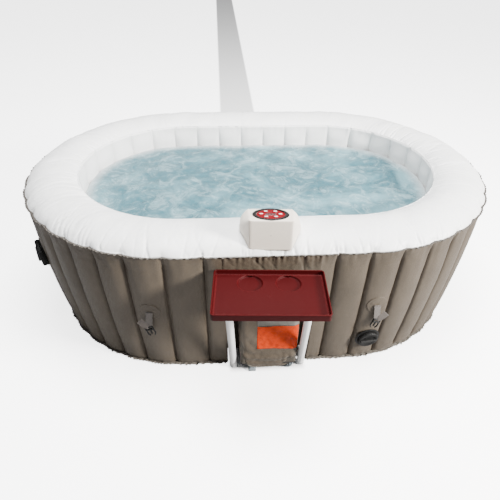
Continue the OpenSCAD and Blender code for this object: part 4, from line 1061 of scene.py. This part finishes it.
cover_low_box, cover_high_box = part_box("pocket_cover")
COVER_HALF = cover_high_box.x
COVER_FRONT = cover_low_box.y
COVER_LOW = cover_low_box.z
COVER_HIGH = cover_high_box.z
COVER_CORNER = 30 * MM
COVER_SIDE = 62 * MM
# Heights above the cover's foot: where its grid is finer, and where it begins to curl in
COVER_FINE = 70 * MM
COVER_CURL = 85 * MM


def cover_surface(s, z):
    """Cover round the unit: side, rounded corner, front, rounded corner, side.

    s runs from -1 to 1 along that plan; the plan shrinks in below so that the foot hangs as a
    rounded pouch. Swags sag between the two bottom corners and short folds cross the right one.
    """
    front = COVER_HALF - COVER_CORNER
    bend = COVER_CORNER * math.pi / 2
    along = np.abs(s) * (front + bend + COVER_SIDE)
    turn = np.clip((along - front) / COVER_CORNER, 0, math.pi / 2)
    back = np.maximum(along - front - bend, 0)
    x = np.minimum(along, front) + COVER_CORNER * np.sin(turn)
    depth = COVER_CORNER * (1 - np.cos(turn)) + back
    height = z - COVER_LOW
    curl = np.clip(1 - height / COVER_CURL, 0, 1)
    flat = 45 * MM
    corner = np.clip((x - flat) / (COVER_HALF - flat), 0, 1)
    x = x * (1 - 0.20 * curl ** 2.4 * corner)
    side = np.sign(s) * x
    sag = 1.5 * MM * drift(side, z, 0.06, 0.2, 71) + 0.4 * MM * drift(side, z, 0.015, 0.04, 72, 20)
    swag = 1.8 * MM * np.cos((height - 1.3 * x * x) * 150) * bell(height - 0.035, 0.05)
    slant = 1.6 * MM * np.cos((side + 0.11) * 130 + (z - 0.12) * 90) * bell(side + 0.075, 0.035)
    slant = slant * bell(z - 0.15, 0.06)
    crumple = 2.4 * MM * drift(side, z, 0.018, 0.05, 73)
    crumple = crumple * bell(side - 0.075, 0.04) * bell(height - 0.03, 0.03)
    bulge = 4 * MM * bell(height - 0.05, 0.06) * (1 - corner)
    push = np.clip(sag + swag + slant + crumple + bulge, -2.5 * MM, 6 * MM)
    y = COVER_FRONT + 1.0 * MM + depth - push * np.cos(turn) + 9 * MM * curl ** 2
    return side + np.sign(s) * push * np.sin(turn), y


def cover_hem(s):
    """Height of the cover's lowest edge: it hangs down in the middle and rises to the sides."""
    hang = 14 * MM * (1 - (s * 1.5) ** 2).clip(0, 1)
    return COVER_LOW - hang + 26 * MM * smooth((np.abs(s) - 0.3) / 0.5)


def make_pocket_cover():
    """Fabric cover hung over the unit: a grid of (height, share across), curled in at the foot."""
    s = np.linspace(-1, 1, 190)[None, :]
    z = np.concatenate([COVER_LOW + COVER_FINE * np.linspace(0, 1, 26, endpoint=False) ** 1.2,
                        np.linspace(COVER_LOW + COVER_FINE, COVER_HIGH, 50)])[:, None]
    hem = cover_hem(s)
    z = hem + (z - COVER_LOW) * (COVER_HIGH - hem) / (COVER_HIGH - COVER_LOW)
    x, y = cover_surface(s + 0 * z, z)
    piece = surface_object("unit_cover_fabric", x, y, z)
    thicken(piece, 1.0 * MM)
    finish_piece(piece, "brown_leatherette", stands_for=["pocket_cover"])


def cover_patch(name, cad, slot, curl):
    """Thin patch glued on the cover: it follows the cover's front, with slightly lifted edges."""
    low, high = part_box(cad)
    u = np.linspace(0, 1, 60)[None, :]
    v = np.linspace(0, 1, 50)[:, None]
    x = low.x + (high.x - low.x) * u + 0 * v
    z = low.z + (high.z - low.z) * (v + 0.035 * np.sin(u * 3 + 1) * (1 - v))
    share = x / (COVER_HALF + COVER_CORNER * (math.pi / 2 - 1) + COVER_SIDE)
    _, y = cover_surface(share, z)
    lift = curl * (smooth((u - 0.9) / 0.1) + smooth((0.08 - v) / 0.08))
    y = y - 0.9 * MM - lift * 1.4 * MM - 0.5 * MM * drift(x, z, 0.02, 0.05, 75)
    piece = surface_object(name, x, y, z)
    thicken(piece, 0.5 * MM)
    finish_piece(piece, slot, stands_for=[cad])


def make_cover_binding():
    """Binding tape round the foot of the cover: a thin rod along the cover's lowest edge."""
    s = np.linspace(-1, 1, 120)
    z = cover_hem(s)
    x, y = cover_surface(s, z)
    points, quads = tube(np.stack([x, y, z + 1 * MM], axis=-1), 2.0 * MM, 10)
    piece = mesh_object("unit_cover_binding", points, quads)
    finish_piece(piece, "base_film")


# ---- Control head ------------------------------------------------------------------------------

HEAD_SLOPE = math.radians(13)
HEAD_FRONT = -END_R + 15 * MM
HEAD_BACK = HEAD_FRONT + 125 * MM
HEAD_TOP = RIM_TOP + 80 * MM
# Half widths: at the widest, at the front face's foot and at its top edge
HEAD_HALF = 100 * MM
FACE_HALF = 68.5 * MM
CREST_HALF = 70.5 * MM
BUTTON_CIRCLE = 31 * MM
PANEL = Vector((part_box("button_panel")[0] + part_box("button_panel")[1]) / 2)
HEAD_SHIFT = PANEL.x


def panel_matrix():
    """Matrix of the head's sloping top: Z along its normal, origin in the panel's middle."""
    turn = Matrix.Rotation(UNIT_TURN, 4, "Z") @ Matrix.Rotation(-HEAD_SLOPE, 4, "X")
    return Matrix.Translation(PANEL) @ turn @ Matrix.Translation((0, 0, 0.5 * MM))


def button_matrices():
    """Matrix of each of the six places on the panel's button circle."""
    turns = [k * math.pi / 3 for k in range(6)]
    return [Matrix.Translation((BUTTON_CIRCLE * math.cos(a), BUTTON_CIRCLE * math.sin(a), 0))
            for a in turns]


def head_ring(depth, shrink, cols):
    """Half-hood outline at a depth behind the front face, as a closed ring of points.

    Upright sides, a bevelled shoulder that grows behind the front face, and a flat top strip
    whose edge is kept as one sharp point. The rim's ellipse cuts the foot.
    """
    grow = min(1.0, max(0.0, depth) / 0.058) ** 0.85
    foot_half = (FACE_HALF + (HEAD_HALF - FACE_HALF) * grow) * shrink
    top_half = (CREST_HALF + 0.0045 * depth / 0.125) * shrink
    drop = 0.0015 + 0.036 * grow
    top = HEAD_TOP - depth * math.tan(HEAD_SLOPE) - (1 - shrink) * 0.05
    away = -(HEAD_FRONT + depth)
    inside = max(0.0, 1 - ((away - RIM_CENTRE_R) / RIM_HALF) ** 2)
    low = RIM_CENTRE_Z + RIM_RISE * math.sqrt(inside) + 1 * MM
    crest = (foot_half + top_half) / 2 + 0.0035 * grow
    corners = [(0, low), (foot_half, low), (foot_half + 0.001 * grow, (low + top - drop) / 2),
               (foot_half, top - drop), (crest, top - drop * 0.42), (top_half, top), (0, top)]
    right = rounded(corners, 0.004 + 0.012 * grow, 6)
    crest_start = rounded([(foot_half, top - drop), (top_half, top), (0, top)], 0.002, 4)[1]
    run = np.append(0, np.cumsum(np.linalg.norm(np.diff(right, axis=0), axis=1) + 1e-7))
    t = np.linspace(0, run[-1], cols // 2)
    x, z = np.interp(t, run, right[:, 0]), np.interp(t, run, right[:, 1])
    edge = int(np.argmin(np.hypot(x - crest_start[0], z - crest_start[1])))
    x[edge], z[edge] = top_half, top
    left, level = -x[-2:0:-1], z[-2:0:-1]
    return np.stack([np.append(x, left), np.full(len(x) + len(left), -away), np.append(z, level)], -1)


def make_head():
    """Ivory housing: hood outlines carried from the front face back, drawn in at both ends."""
    cols = 112
    reach = HEAD_BACK - HEAD_FRONT
    depths = np.concatenate([[0.0, 0.0008, 0.0025, 0.006], np.linspace(0.010, 0.062, 14),
                             np.linspace(0.066, reach - 0.016, 10),
                             reach - np.array([0.010, 0.005, 0.0015, 0.0])])
    shrink = np.concatenate([[0.975, 0.99, 0.997, 1.0], np.ones(24), [0.985, 0.965, 0.935, 0.90]])
    rings = [head_ring(d, k, cols) for d, k in zip(depths, shrink)]
    front = [rings[0].mean(0) + (rings[0] - rings[0].mean(0)) * k for k in (0.02, 0.5, 0.9)]
    rear = [rings[-1].mean(0) + (rings[-1] - rings[-1].mean(0)) * k for k in (0.85, 0.5, 0.02)]
    points = np.array(front + rings + rear)
    quads = grid_faces(len(points), points.shape[1], wrap_cols=True)
    about = Matrix.Translation((HEAD_SHIFT, PANEL.y, 0)) @ Matrix.Rotation(UNIT_TURN, 4, "Z")
    points, quads = placed(about @ Matrix.Translation((0, -PANEL.y, 0)), (points, quads))
    piece = mesh_object("head_housing_shell", points, quads)
    finish_piece(piece, "head_plastic", stands_for=["control_housing"])


def make_bezel():
    """Black bezel: a turned ring with a rolled outer edge and a step for the red panel."""
    outer, inner = 60.5 * MM, 46.6 * MM
    profile = rounded([(inner, -2.5 * MM), (inner, 1.6 * MM), (inner + 3 * MM, 2.6 * MM),
                       (outer - 3 * MM, 2.4 * MM), (outer, 0.2 * MM), (outer, -2.5 * MM),
                       (inner + 1 * MM, -2.5 * MM)], 1.2 * MM)
    points, quads = placed(panel_matrix(), lathe(np.append(profile, profile[:1], 0), 96))
    piece = mesh_object("panel_bezel", points, quads[:, ::-1])
    finish_piece(piece, "black_plastic", stands_for=["bezel_ring"])


def make_panel():
    """Red panel film with a raised rim round each button."""
    profile = rounded([(AXIS_R, -1.5 * MM), (46.4 * MM, -1.5 * MM), (46.4 * MM, 0.3 * MM),
                       (AXIS_R, 0.5 * MM)], 0.4 * MM)
    parts = [lathe(profile, 96)]
    ring = rounded([(8.7 * MM, 0.4 * MM), (8.7 * MM, 1.0 * MM), (9.6 * MM, 1.0 * MM),
                    (9.9 * MM, 0.4 * MM)], 0.3 * MM, 3)
    parts += [placed(spot, lathe(ring, 32)) for spot in button_matrices()]
    points, quads = placed(panel_matrix(), join(parts))
    piece = mesh_object("panel_film", points, quads)
    finish_piece(piece, "red_panel", stands_for=["button_panel"])


def make_display():
    """Display window: a rounded dark pane standing a little proud."""
    pane = rounded_box((-17 * MM, -9.5 * MM, -1 * MM), (17 * MM, 9.5 * MM, 1.2 * MM), 1.5 * MM)
    piece = mesh_object("display_pane", *placed(panel_matrix(), pane))
    finish_piece(piece, "display", stands_for=["display_window"])


def make_buttons():
    """Six push buttons: low red domes, each with a raised white bar as a plain mark."""
    dome = rounded([(AXIS_R, -2.4 * MM), (8.3 * MM, -2.4 * MM), (8.35 * MM, 1.6 * MM),
                    (6.5 * MM, 2.3 * MM), (AXIS_R, 2.5 * MM)], 0.9 * MM)
    stem = rounded([(AXIS_R, -5.8 * MM), (3 * MM, -5.8 * MM), (3 * MM, -2.3 * MM), (AXIS_R, -2.3 * MM)],
                   0.3 * MM, 3)
    bar = rounded_box((-5.2 * MM, -3.2 * MM, 1.9 * MM), (5.2 * MM, 3.2 * MM, 2.9 * MM), 0.5 * MM, 3)
    button = join([lathe(dome, 40), lathe(stem, 20)])
    for number, where in enumerate(button_matrices(), 1):
        spot = panel_matrix() @ where
        cap = mesh_object(f"button_cap_{number}", *placed(spot, button))
        finish_piece(cap, "red_panel", f"button_{number}", [f"button_{number}"])
        mark = mesh_object(f"button_mark_{number}", *placed(spot, bar))
        finish_piece(mark, "button_white", f"button_{number}")


# ---- Drink tray ----------------------------------------------------------------------------------

def rounded_rect_path(w, d, r, inset, steps):
    """Corner-rounded rectangle, moved in by inset; at inset = r its corners are sharp points."""
    r2 = max(r - inset, 0.0)
    a = np.concatenate([np.linspace(q, q + 90, steps) for q in (0, 90, 180, 270)]) * math.pi / 180
    cx = np.repeat([1, -1, -1, 1], steps) * (w / 2 - r)
    cy = np.repeat([1, 1, -1, -1], steps) * (d / 2 - r)
    extra = min(0.0, r - inset)
    cx = cx + np.sign(cx) * extra
    cy = cy + np.sign(cy) * extra
    return np.stack([cx + r2 * np.cos(a), cy + r2 * np.sin(a)], -1)


def cup_field(x, y, cup_y, radius, soft):
    """1 inside either round cup recess, 0 outside, with a soft wall."""
    near = np.minimum(np.hypot(x - CUP_HALF, y - cup_y), np.hypot(x + CUP_HALF, y - cup_y))
    return smooth((radius + soft / 2 - near) / soft)


TRAY_BACK = -END_R - 6 * MM
TRAY_SHIFT = -14 * MM
TRAY_WIDE, TRAY_DEEP, TRAY_TOP = 0.360, 0.216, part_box("drink_tray")[1].z
TRAY_FLOOR = TRAY_TOP - 16 * MM
CUP_HALF = 62 * MM
CUP_BACK = 50 * MM
CUP_DEPTH = 7 * MM
LEG_HALF, LEG_LEAN = 133 * MM, 169 * MM
LEG_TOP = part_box("tray_legs")[1].z


def tray_matrix():
    """Matrix of the tray's frame: origin under the middle of its back edge, X along it."""
    return Matrix.Translation((TRAY_SHIFT, TRAY_BACK, 0)) @ Matrix.Rotation(UNIT_TURN, 4, "Z")


def leg_line(side, z):
    """Point of a leg's centre line at height z; both legs lean forward and to the left."""
    foot_y = -END_R + 52 * MM
    top_y = foot_y - LEG_LEAN + side * LEG_HALF * math.sin(UNIT_TURN)
    drift_x = TRAY_SHIFT + (TRAY_BACK - foot_y + LEG_LEAN) * math.sin(UNIT_TURN)
    share = np.asarray(z, float) / LEG_TOP
    return np.stack([side * LEG_HALF + drift_x * share, foot_y + (top_y - foot_y) * share,
                     np.asarray(z, float)], -1)


def make_tray():
    """Maroon tray: a lip profile carried round the rounded rectangle, and a floor with two cups.

    The lip has a rolled edge and a skirt below the floor; leg sockets and hooks hang under it.
    """
    w, d, r = TRAY_WIDE, TRAY_DEEP, 11 * MM
    top, foot, floor = TRAY_TOP, TRAY_TOP - 25 * MM, TRAY_FLOOR
    under = floor - 3 * MM
    cup_y = d / 2 - CUP_BACK
    socket_drop = 24 * MM
    corner_steps = 8
    cols = 4 * corner_steps
    profile = [(r, under), (6 * MM, under), (3.6 * MM, under - 1.5 * MM), (3.1 * MM, foot + 1 * MM),
               (2.4 * MM, foot), (0.9 * MM, foot), (0.2 * MM, foot + 1 * MM), (0.0, top - 4 * MM),
               (-0.6 * MM, top - 2.4 * MM), (-0.4 * MM, top - 0.7 * MM), (0.7 * MM, top), (2.4 * MM, top),
               (3.3 * MM, top - 0.8 * MM), (3.6 * MM, top - 3 * MM), (4.2 * MM, floor + 3 * MM),
               (5.0 * MM, floor + 1 * MM), (7.0 * MM, floor), (r, floor)]
    ring = np.array([np.column_stack([rounded_rect_path(w, d, r, i, corner_steps), np.full(cols, z)])
                     for i, z in profile])
    parts = [(ring, grid_faces(len(profile), cols, wrap_cols=True))]
    nx, ny = 230, 150
    gx = np.linspace(-w / 2 + r, w / 2 - r, nx)[None, :]
    gy = np.linspace(-d / 2 + r, d / 2 - r, ny)[:, None]
    cup = cup_field(gx, gy, cup_y, 40.2 * MM, 2.4 * MM)
    ridge = cup_field(gx, gy, cup_y, 42.4 * MM, 2.0 * MM) - cup_field(gx, gy, cup_y, 41 * MM, 1.4 * MM)
    gate = 1.0 * MM * bell(np.hypot(gx + 1 * MM, gy + 5 * MM), 2.0 * MM)
    x, y = gx + 0 * gy, gy + 0 * gx
    pan = floor - CUP_DEPTH * cup + 0.5 * MM * ridge + gate
    parts.append((np.stack([x, y, pan], -1), grid_faces(ny, nx)))
    well = under - CUP_DEPTH * cup_field(gx, gy, cup_y, 43.6 * MM, 2.4 * MM)
    parts.append((np.stack([x, y, well], -1), grid_faces(ny, nx)[:, ::-1]))
    for side in (-1, 1):
        hook = rounded_box((side * 0.06 - 0.012, d / 2 - 6 * MM, foot - socket_drop),
                           (side * 0.06 + 0.012, d / 2 - 2 * MM, under + 1 * MM), 1.2 * MM)
        parts.append(hook)
    tray = placed(tray_matrix() @ Matrix.Translation((0, -d / 2, 0)), join(parts))
    sockets = []
    for side in (-1, 1):
        boss = rounded([(14.1 * MM, under), (14.1 * MM, under - socket_drop),
                        (19.5 * MM, under - socket_drop), (19.5 * MM, under + 1 * MM)], 2 * MM)
        spot = leg_line(side, LEG_TOP)
        sockets.append(placed(Matrix.Translation((spot[0], spot[1], 0)), lathe(boss, 48)))
    piece = mesh_object("tray_shell", *join([tray] + sockets))
    finish_piece(piece, "maroon_plastic", "tray", ["drink_tray"])


def make_legs():
    """Two white tubes that lean forward from foot to tray, and their grey end caps.

    The caps are turned upright and then sheared along the leg, so that they stand level.
    """
    tips, tubes = [], []
    profile = np.array([(AXIS_R, 0), (10.5, 0), (13.2, 0.4), (14.6, 1.5), (15, 4), (15, 20),
                        (14.6, 21.5), (13.6, 22), (AXIS_R, 22)]) * MM
    for side in (-1, 1):
        tubes.append(tube(leg_line(side, np.linspace(0.009, LEG_TOP - 1 * MM, 40)), 13.5 * MM, 40))
        points, quads = lathe(profile, 40)
        points[..., :2] += leg_line(side, points[..., 2])[..., :2]
        tips.append((points, quads))
    legs = mesh_object("tray_leg_tubes", *join(tubes))
    finish_piece(legs, "white_tube", "tray", ["tray_legs"])
    caps = mesh_object("tray_leg_caps", *join(tips))
    finish_piece(caps, "leg_tip", "tray", ["leg_tips"])


# ---- Straps, caps and casters ----------------------------------------------------------------------

STRAP_HEIGHT = (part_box("strap_patches")[0].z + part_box("strap_patches")[1].z) / 2
STRAP_RUNS = {"front_left": TOTAL_RUN - BAY_LEFT - 1.5 * WIDE_RIB,
              "front_right": BAY_RIGHT + 1.5 * (BACK_SEAM - BAY_RIGHT) / RIBS_RIGHT,
              "back_left": TOTAL_RUN / 2 + 0.4, "back_right": TOTAL_RUN / 2 - 0.4}
DRAIN_HEIGHT = 0.130
AIR_HEIGHT = 0.340
AIR_RUN = 3 * STRAIGHT + ARC + END_R * math.radians(114)


def make_patch(run):
    """Round weld patch that drapes over its rib, with a welded ring and a slot with a raised hem."""
    rings, cols = 26, 72
    r = 40 * MM * np.linspace(0.0, 1, rings)[:, None] ** 0.9
    a = np.linspace(0, 2 * math.pi, cols, endpoint=False)[None, :]
    du, dz = r * np.cos(a), r * np.sin(a)
    z = STRAP_HEIGHT + dz
    off = outer_surface(run + du, seam_share(run + du), z)
    ridge = 0.8 * MM * bell(r - 35 * MM, 1.2 * MM) + 0.5 * MM * bell(r - 38.5 * MM, 1.0 * MM)
    hem = 1.0 * MM * bell(np.abs(dz) - 3 * MM, 1.6 * MM) * smooth((16 * MM - np.abs(du)) / (4 * MM))
    edge = 1.3 * MM * smooth((40 * MM - r) / (0.7 * MM))
    x, y, _ = oval(run + du, END_R, off + edge + ridge + hem)
    return np.stack([x, y, z + 0 * x], axis=-1), grid_faces(rings, cols, wrap_cols=True)[:, ::-1]


def make_patches():
    """All four strap patches as one piece."""
    parts = [make_patch(run) for run in STRAP_RUNS.values()]
    piece = mesh_object("strap_patch_discs", *join(parts))
    thicken(piece, 1.0 * MM)
    finish_piece(piece, "brown_leatherette", stands_for=["strap_patches"])


def make_strap(name, run, flip):
    """Webbing that hangs from its slot to a black side-release buckle and leaves a loose tail.

    flip is 1 where the tail leaves to the right and -1 where it leaves to the left.
    """
    x, y, turn = oval(np.array(run), END_R, wall_offset(STRAP_HEIGHT) + 3.7 * MM)
    place = (Matrix.Translation((float(x), float(y), STRAP_HEIGHT))
             @ Matrix.Rotation(float(turn), 4, "Z"))
    body = "strap_" + name
    slant = 0.10 * flip
    main = [(0.0, -0.6 * MM, 0.4 * MM), (0, -1.4 * MM, -3 * MM), (slant * 0.02, -2.2 * MM, -0.02),
            (slant * 0.045, -2.4 * MM, -0.045), (slant * 0.066, -2.8 * MM, -0.066)]
    tail = [(slant * 0.066, -3.4 * MM, -0.064), (flip * 0.012, -6.0 * MM, -0.060),
            (flip * 0.026, -8.5 * MM, -0.050), (flip * 0.038, -9 * MM, -0.036)]
    for label, path, count, across, width, thick, length in (
            ("webbing_", main, 30, (1, 0, 0), 25 * MM, 1.6 * MM, 68 * MM),
            ("webbing_tail_", tail, 24, (0.3 * flip, 0.2, 1.0), 22 * MM, 1.5 * MM, 50 * MM)):
        points, quads = placed(place, strip(curve_through(path, count), across, width, thick))
        web = mesh_object(label + name, points, quads, uv=strip_uv(count, width, length))
        finish_piece(web, "webbing", body)
    turn_in = (Matrix.Translation((slant * 0.066, -4.2 * MM, -0.072))
               @ Matrix.Rotation(0.35 * flip, 4, "Y"))
    parts = [rounded_box((-16 * MM, -4 * MM, -9 * MM), (16 * MM, 3.4 * MM, -3 * MM), 1.6 * MM),
             rounded_box((-16 * MM, -4 * MM, 3 * MM), (16 * MM, 3.4 * MM, 8 * MM), 1.6 * MM),
             rounded_box((-16 * MM, -4 * MM, -8 * MM), (-12.5 * MM, 3.4 * MM, 7 * MM), 1.6 * MM),
             rounded_box((12.5 * MM, -4 * MM, -8 * MM), (16 * MM, 3.4 * MM, 7 * MM), 1.6 * MM),
             rounded_box((-3 * MM, -2.6 * MM, -27 * MM), (3 * MM, 2 * MM, -6 * MM), 1.4 * MM)]
    for side in (-1, 1):
        prong = [(side * x * MM, -0.5 * MM, z * MM)
                 for x, z in ((12, -7), (14.5, -17), (14, -26), (8.5, -33))]
        parts.append(strip(curve_through(prong, 20), (0, 1, 0), 5.5 * MM, 4.2 * MM, 0.6))
    points, quads = placed(place @ turn_in, join(parts))
    buckle = mesh_object(f"buckle_{name}", points, quads)
    finish_piece(buckle, "black_plastic", body, [body])


def cap_parts(radius, thick, lift):
    """Screw cap turned about Z: knurled skirt, dished face and a grip bar across it."""
    profile = rounded([(AXIS_R, lift), (radius, lift), (radius, lift + thick * 0.55),
                       (radius * 0.93, lift + thick * 0.68), (radius * 0.72, lift + thick * 0.66),
                       (radius * 0.6, lift + thick * 0.5), (AXIS_R, lift + thick * 0.5)], 1.5 * MM)
    steps = 144
    points, quads = lathe(profile, steps)
    a = np.linspace(0, 2 * math.pi, steps, endpoint=False)[:, None]
    knurl = 1 + 0.012 * np.sign(np.sin(a * 36)) * (profile[:, 0] > radius * 0.97)
    points[..., :2] *= knurl[..., None]
    bar = rounded_box((-radius * 0.85, -radius * 0.14, lift + thick * 0.4),
                      (radius * 0.85, radius * 0.14, lift + thick), 2 * MM)
    return [(points, quads), bar]


def flange_parts(radius, thick, hole):
    """Valve flange turned about Z, with a stepped edge."""
    profile = rounded([(hole, 0.4 * MM), (radius, 0.4 * MM), (radius, 2.2 * MM),
                       (radius - 4 * MM, 2.8 * MM), (radius - 6 * MM, thick), (hole, thick)],
                      0.8 * MM)
    return lathe(profile, 96)


def make_valves():
    """Drain valve and inflation valve: flanges on the wall, and caps that turn."""
    out = Matrix.Rotation(math.radians(90), 4, "X")
    rests = []
    for name, run, z, radius, margin, thick in (
            ("drain", STRAP_RUNS["front_right"], DRAIN_HEIGHT, 40 * MM, 9 * MM, 18 * MM),
            ("air_valve", AIR_RUN, AIR_HEIGHT, 54 * MM, 6 * MM, 24 * MM)):
        place = wall_place(run, z) @ out
        rests.append(placed(place, flange_parts(radius + margin, 4.2 * MM, 19 * MM)))
        cap = join(cap_parts(radius, thick, 4.8 * MM))
        piece = mesh_object(f"{name}_screw_cap", *placed(place, cap))
        finish_piece(piece, "black_plastic", f"{name}_cap", [f"{name}_cap"])
    inner = placed(wall_place(STRAP_RUNS["front_right"], DRAIN_HEIGHT) @ out,
                   tube([(0, 0, -0.010), (0, 0, -0.19)], 17 * MM, 32))
    rests.append(inner)
    piece = mesh_object("valve_flanges", *join(rests))
    finish_piece(piece, "black_plastic", stands_for=["valve_bodies"])


def make_wheel(name):
    """Caster wheel turned about Y: rounded tread, dished sides and a hub on its axle."""
    low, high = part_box("caster_wheel_" + name)
    centre = (low + high) / 2
    r, half = (high.z - low.z) / 2, 8.5 * MM
    side = [(AXIS_R, half + 2.6 * MM), (2.9 * MM, half + 2.6 * MM), (2.9 * MM, half - 1 * MM),
            (7 * MM, half - 0.4 * MM), (9 * MM, half - 2.6 * MM), (r * 0.72, half - 2.2 * MM),
            (r * 0.84, half), (r, half - 2 * MM)]
    profile = rounded([(x, -z) for x, z in side] + side[::-1], 1.0 * MM, 4)
    turn = Matrix.Translation(centre) @ Matrix.Rotation(math.radians(90), 4, "X")
    points, quads = placed(turn, lathe(profile, 64))
    piece = mesh_object("caster_tyre_" + name, points, quads)
    finish_piece(piece, "grey_rubber", "caster_wheel_" + name, ["caster_wheel_" + name])


def make_feet():
    """Two chamfered feet: rounded blocks that taper outwards to the floor."""
    parts = []
    low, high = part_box("unit_feet")
    for y0 in (low.y, high.y - 30 * MM):
        top = high.z / MM - 0.5
        sizes = [(9, 0.0), (13.5, 0.0), (15, 1.5), (15, 8), (10.5, 20), (10.5, top), (8, top)]
        ring = []
        for half, z in sizes:
            path = rounded_rect_path(2 * half * MM, 2 * half * MM, 4 * MM, 0.0, 6)
            ring.append(np.column_stack([path, np.full(len(path), z * MM)]))
        block = (np.array(ring), grid_faces(len(sizes), 24, wrap_cols=True))
        parts.append(placed(Matrix.Translation(((low.x + high.x) / 2, y0 + 15 * MM, 0)), block))
    piece = mesh_object("unit_foot_blocks", *join(parts))
    finish_piece(piece, "grey_rubber", stands_for=["unit_feet"])


# ---- CAD nodes that keep their shape ---------------------------------------------------------------

def dress_cad_nodes():
    """Every CAD node that still shows takes the finish of its slot in the record."""
    for row in frame["record"]["subparts"]:
        piece = frame["nodes"][row["node"]]
        if piece.hide_render:
            continue
        piece.data.materials.clear()
        piece.data.materials.append(FINISH[row["material_slot"]])


add_camera()
add_studio()
make_outer_wall()
make_rim()
make_rim_flange()
make_foot_flange()
make_inner_wall()
make_inner_weld()
make_floor()
make_water()
make_header()
make_pocket_cover()
make_cover_binding()
cover_patch("cover_patch_orange", "access_patch", "orange_patch", 1.0)
cover_patch("cover_patch_grey", "vent_patch", "grey_patch", 0.3)
make_head()
make_bezel()
make_panel()
make_display()
make_buttons()
make_tray()
make_legs()
make_patches()
for strap_name, strap_run in STRAP_RUNS.items():
    make_strap(strap_name, strap_run, -1 if strap_name == "front_left" else 1)
make_valves()
for caster in ("front", "rear"):
    make_wheel(caster)
make_feet()
dress_cad_nodes()
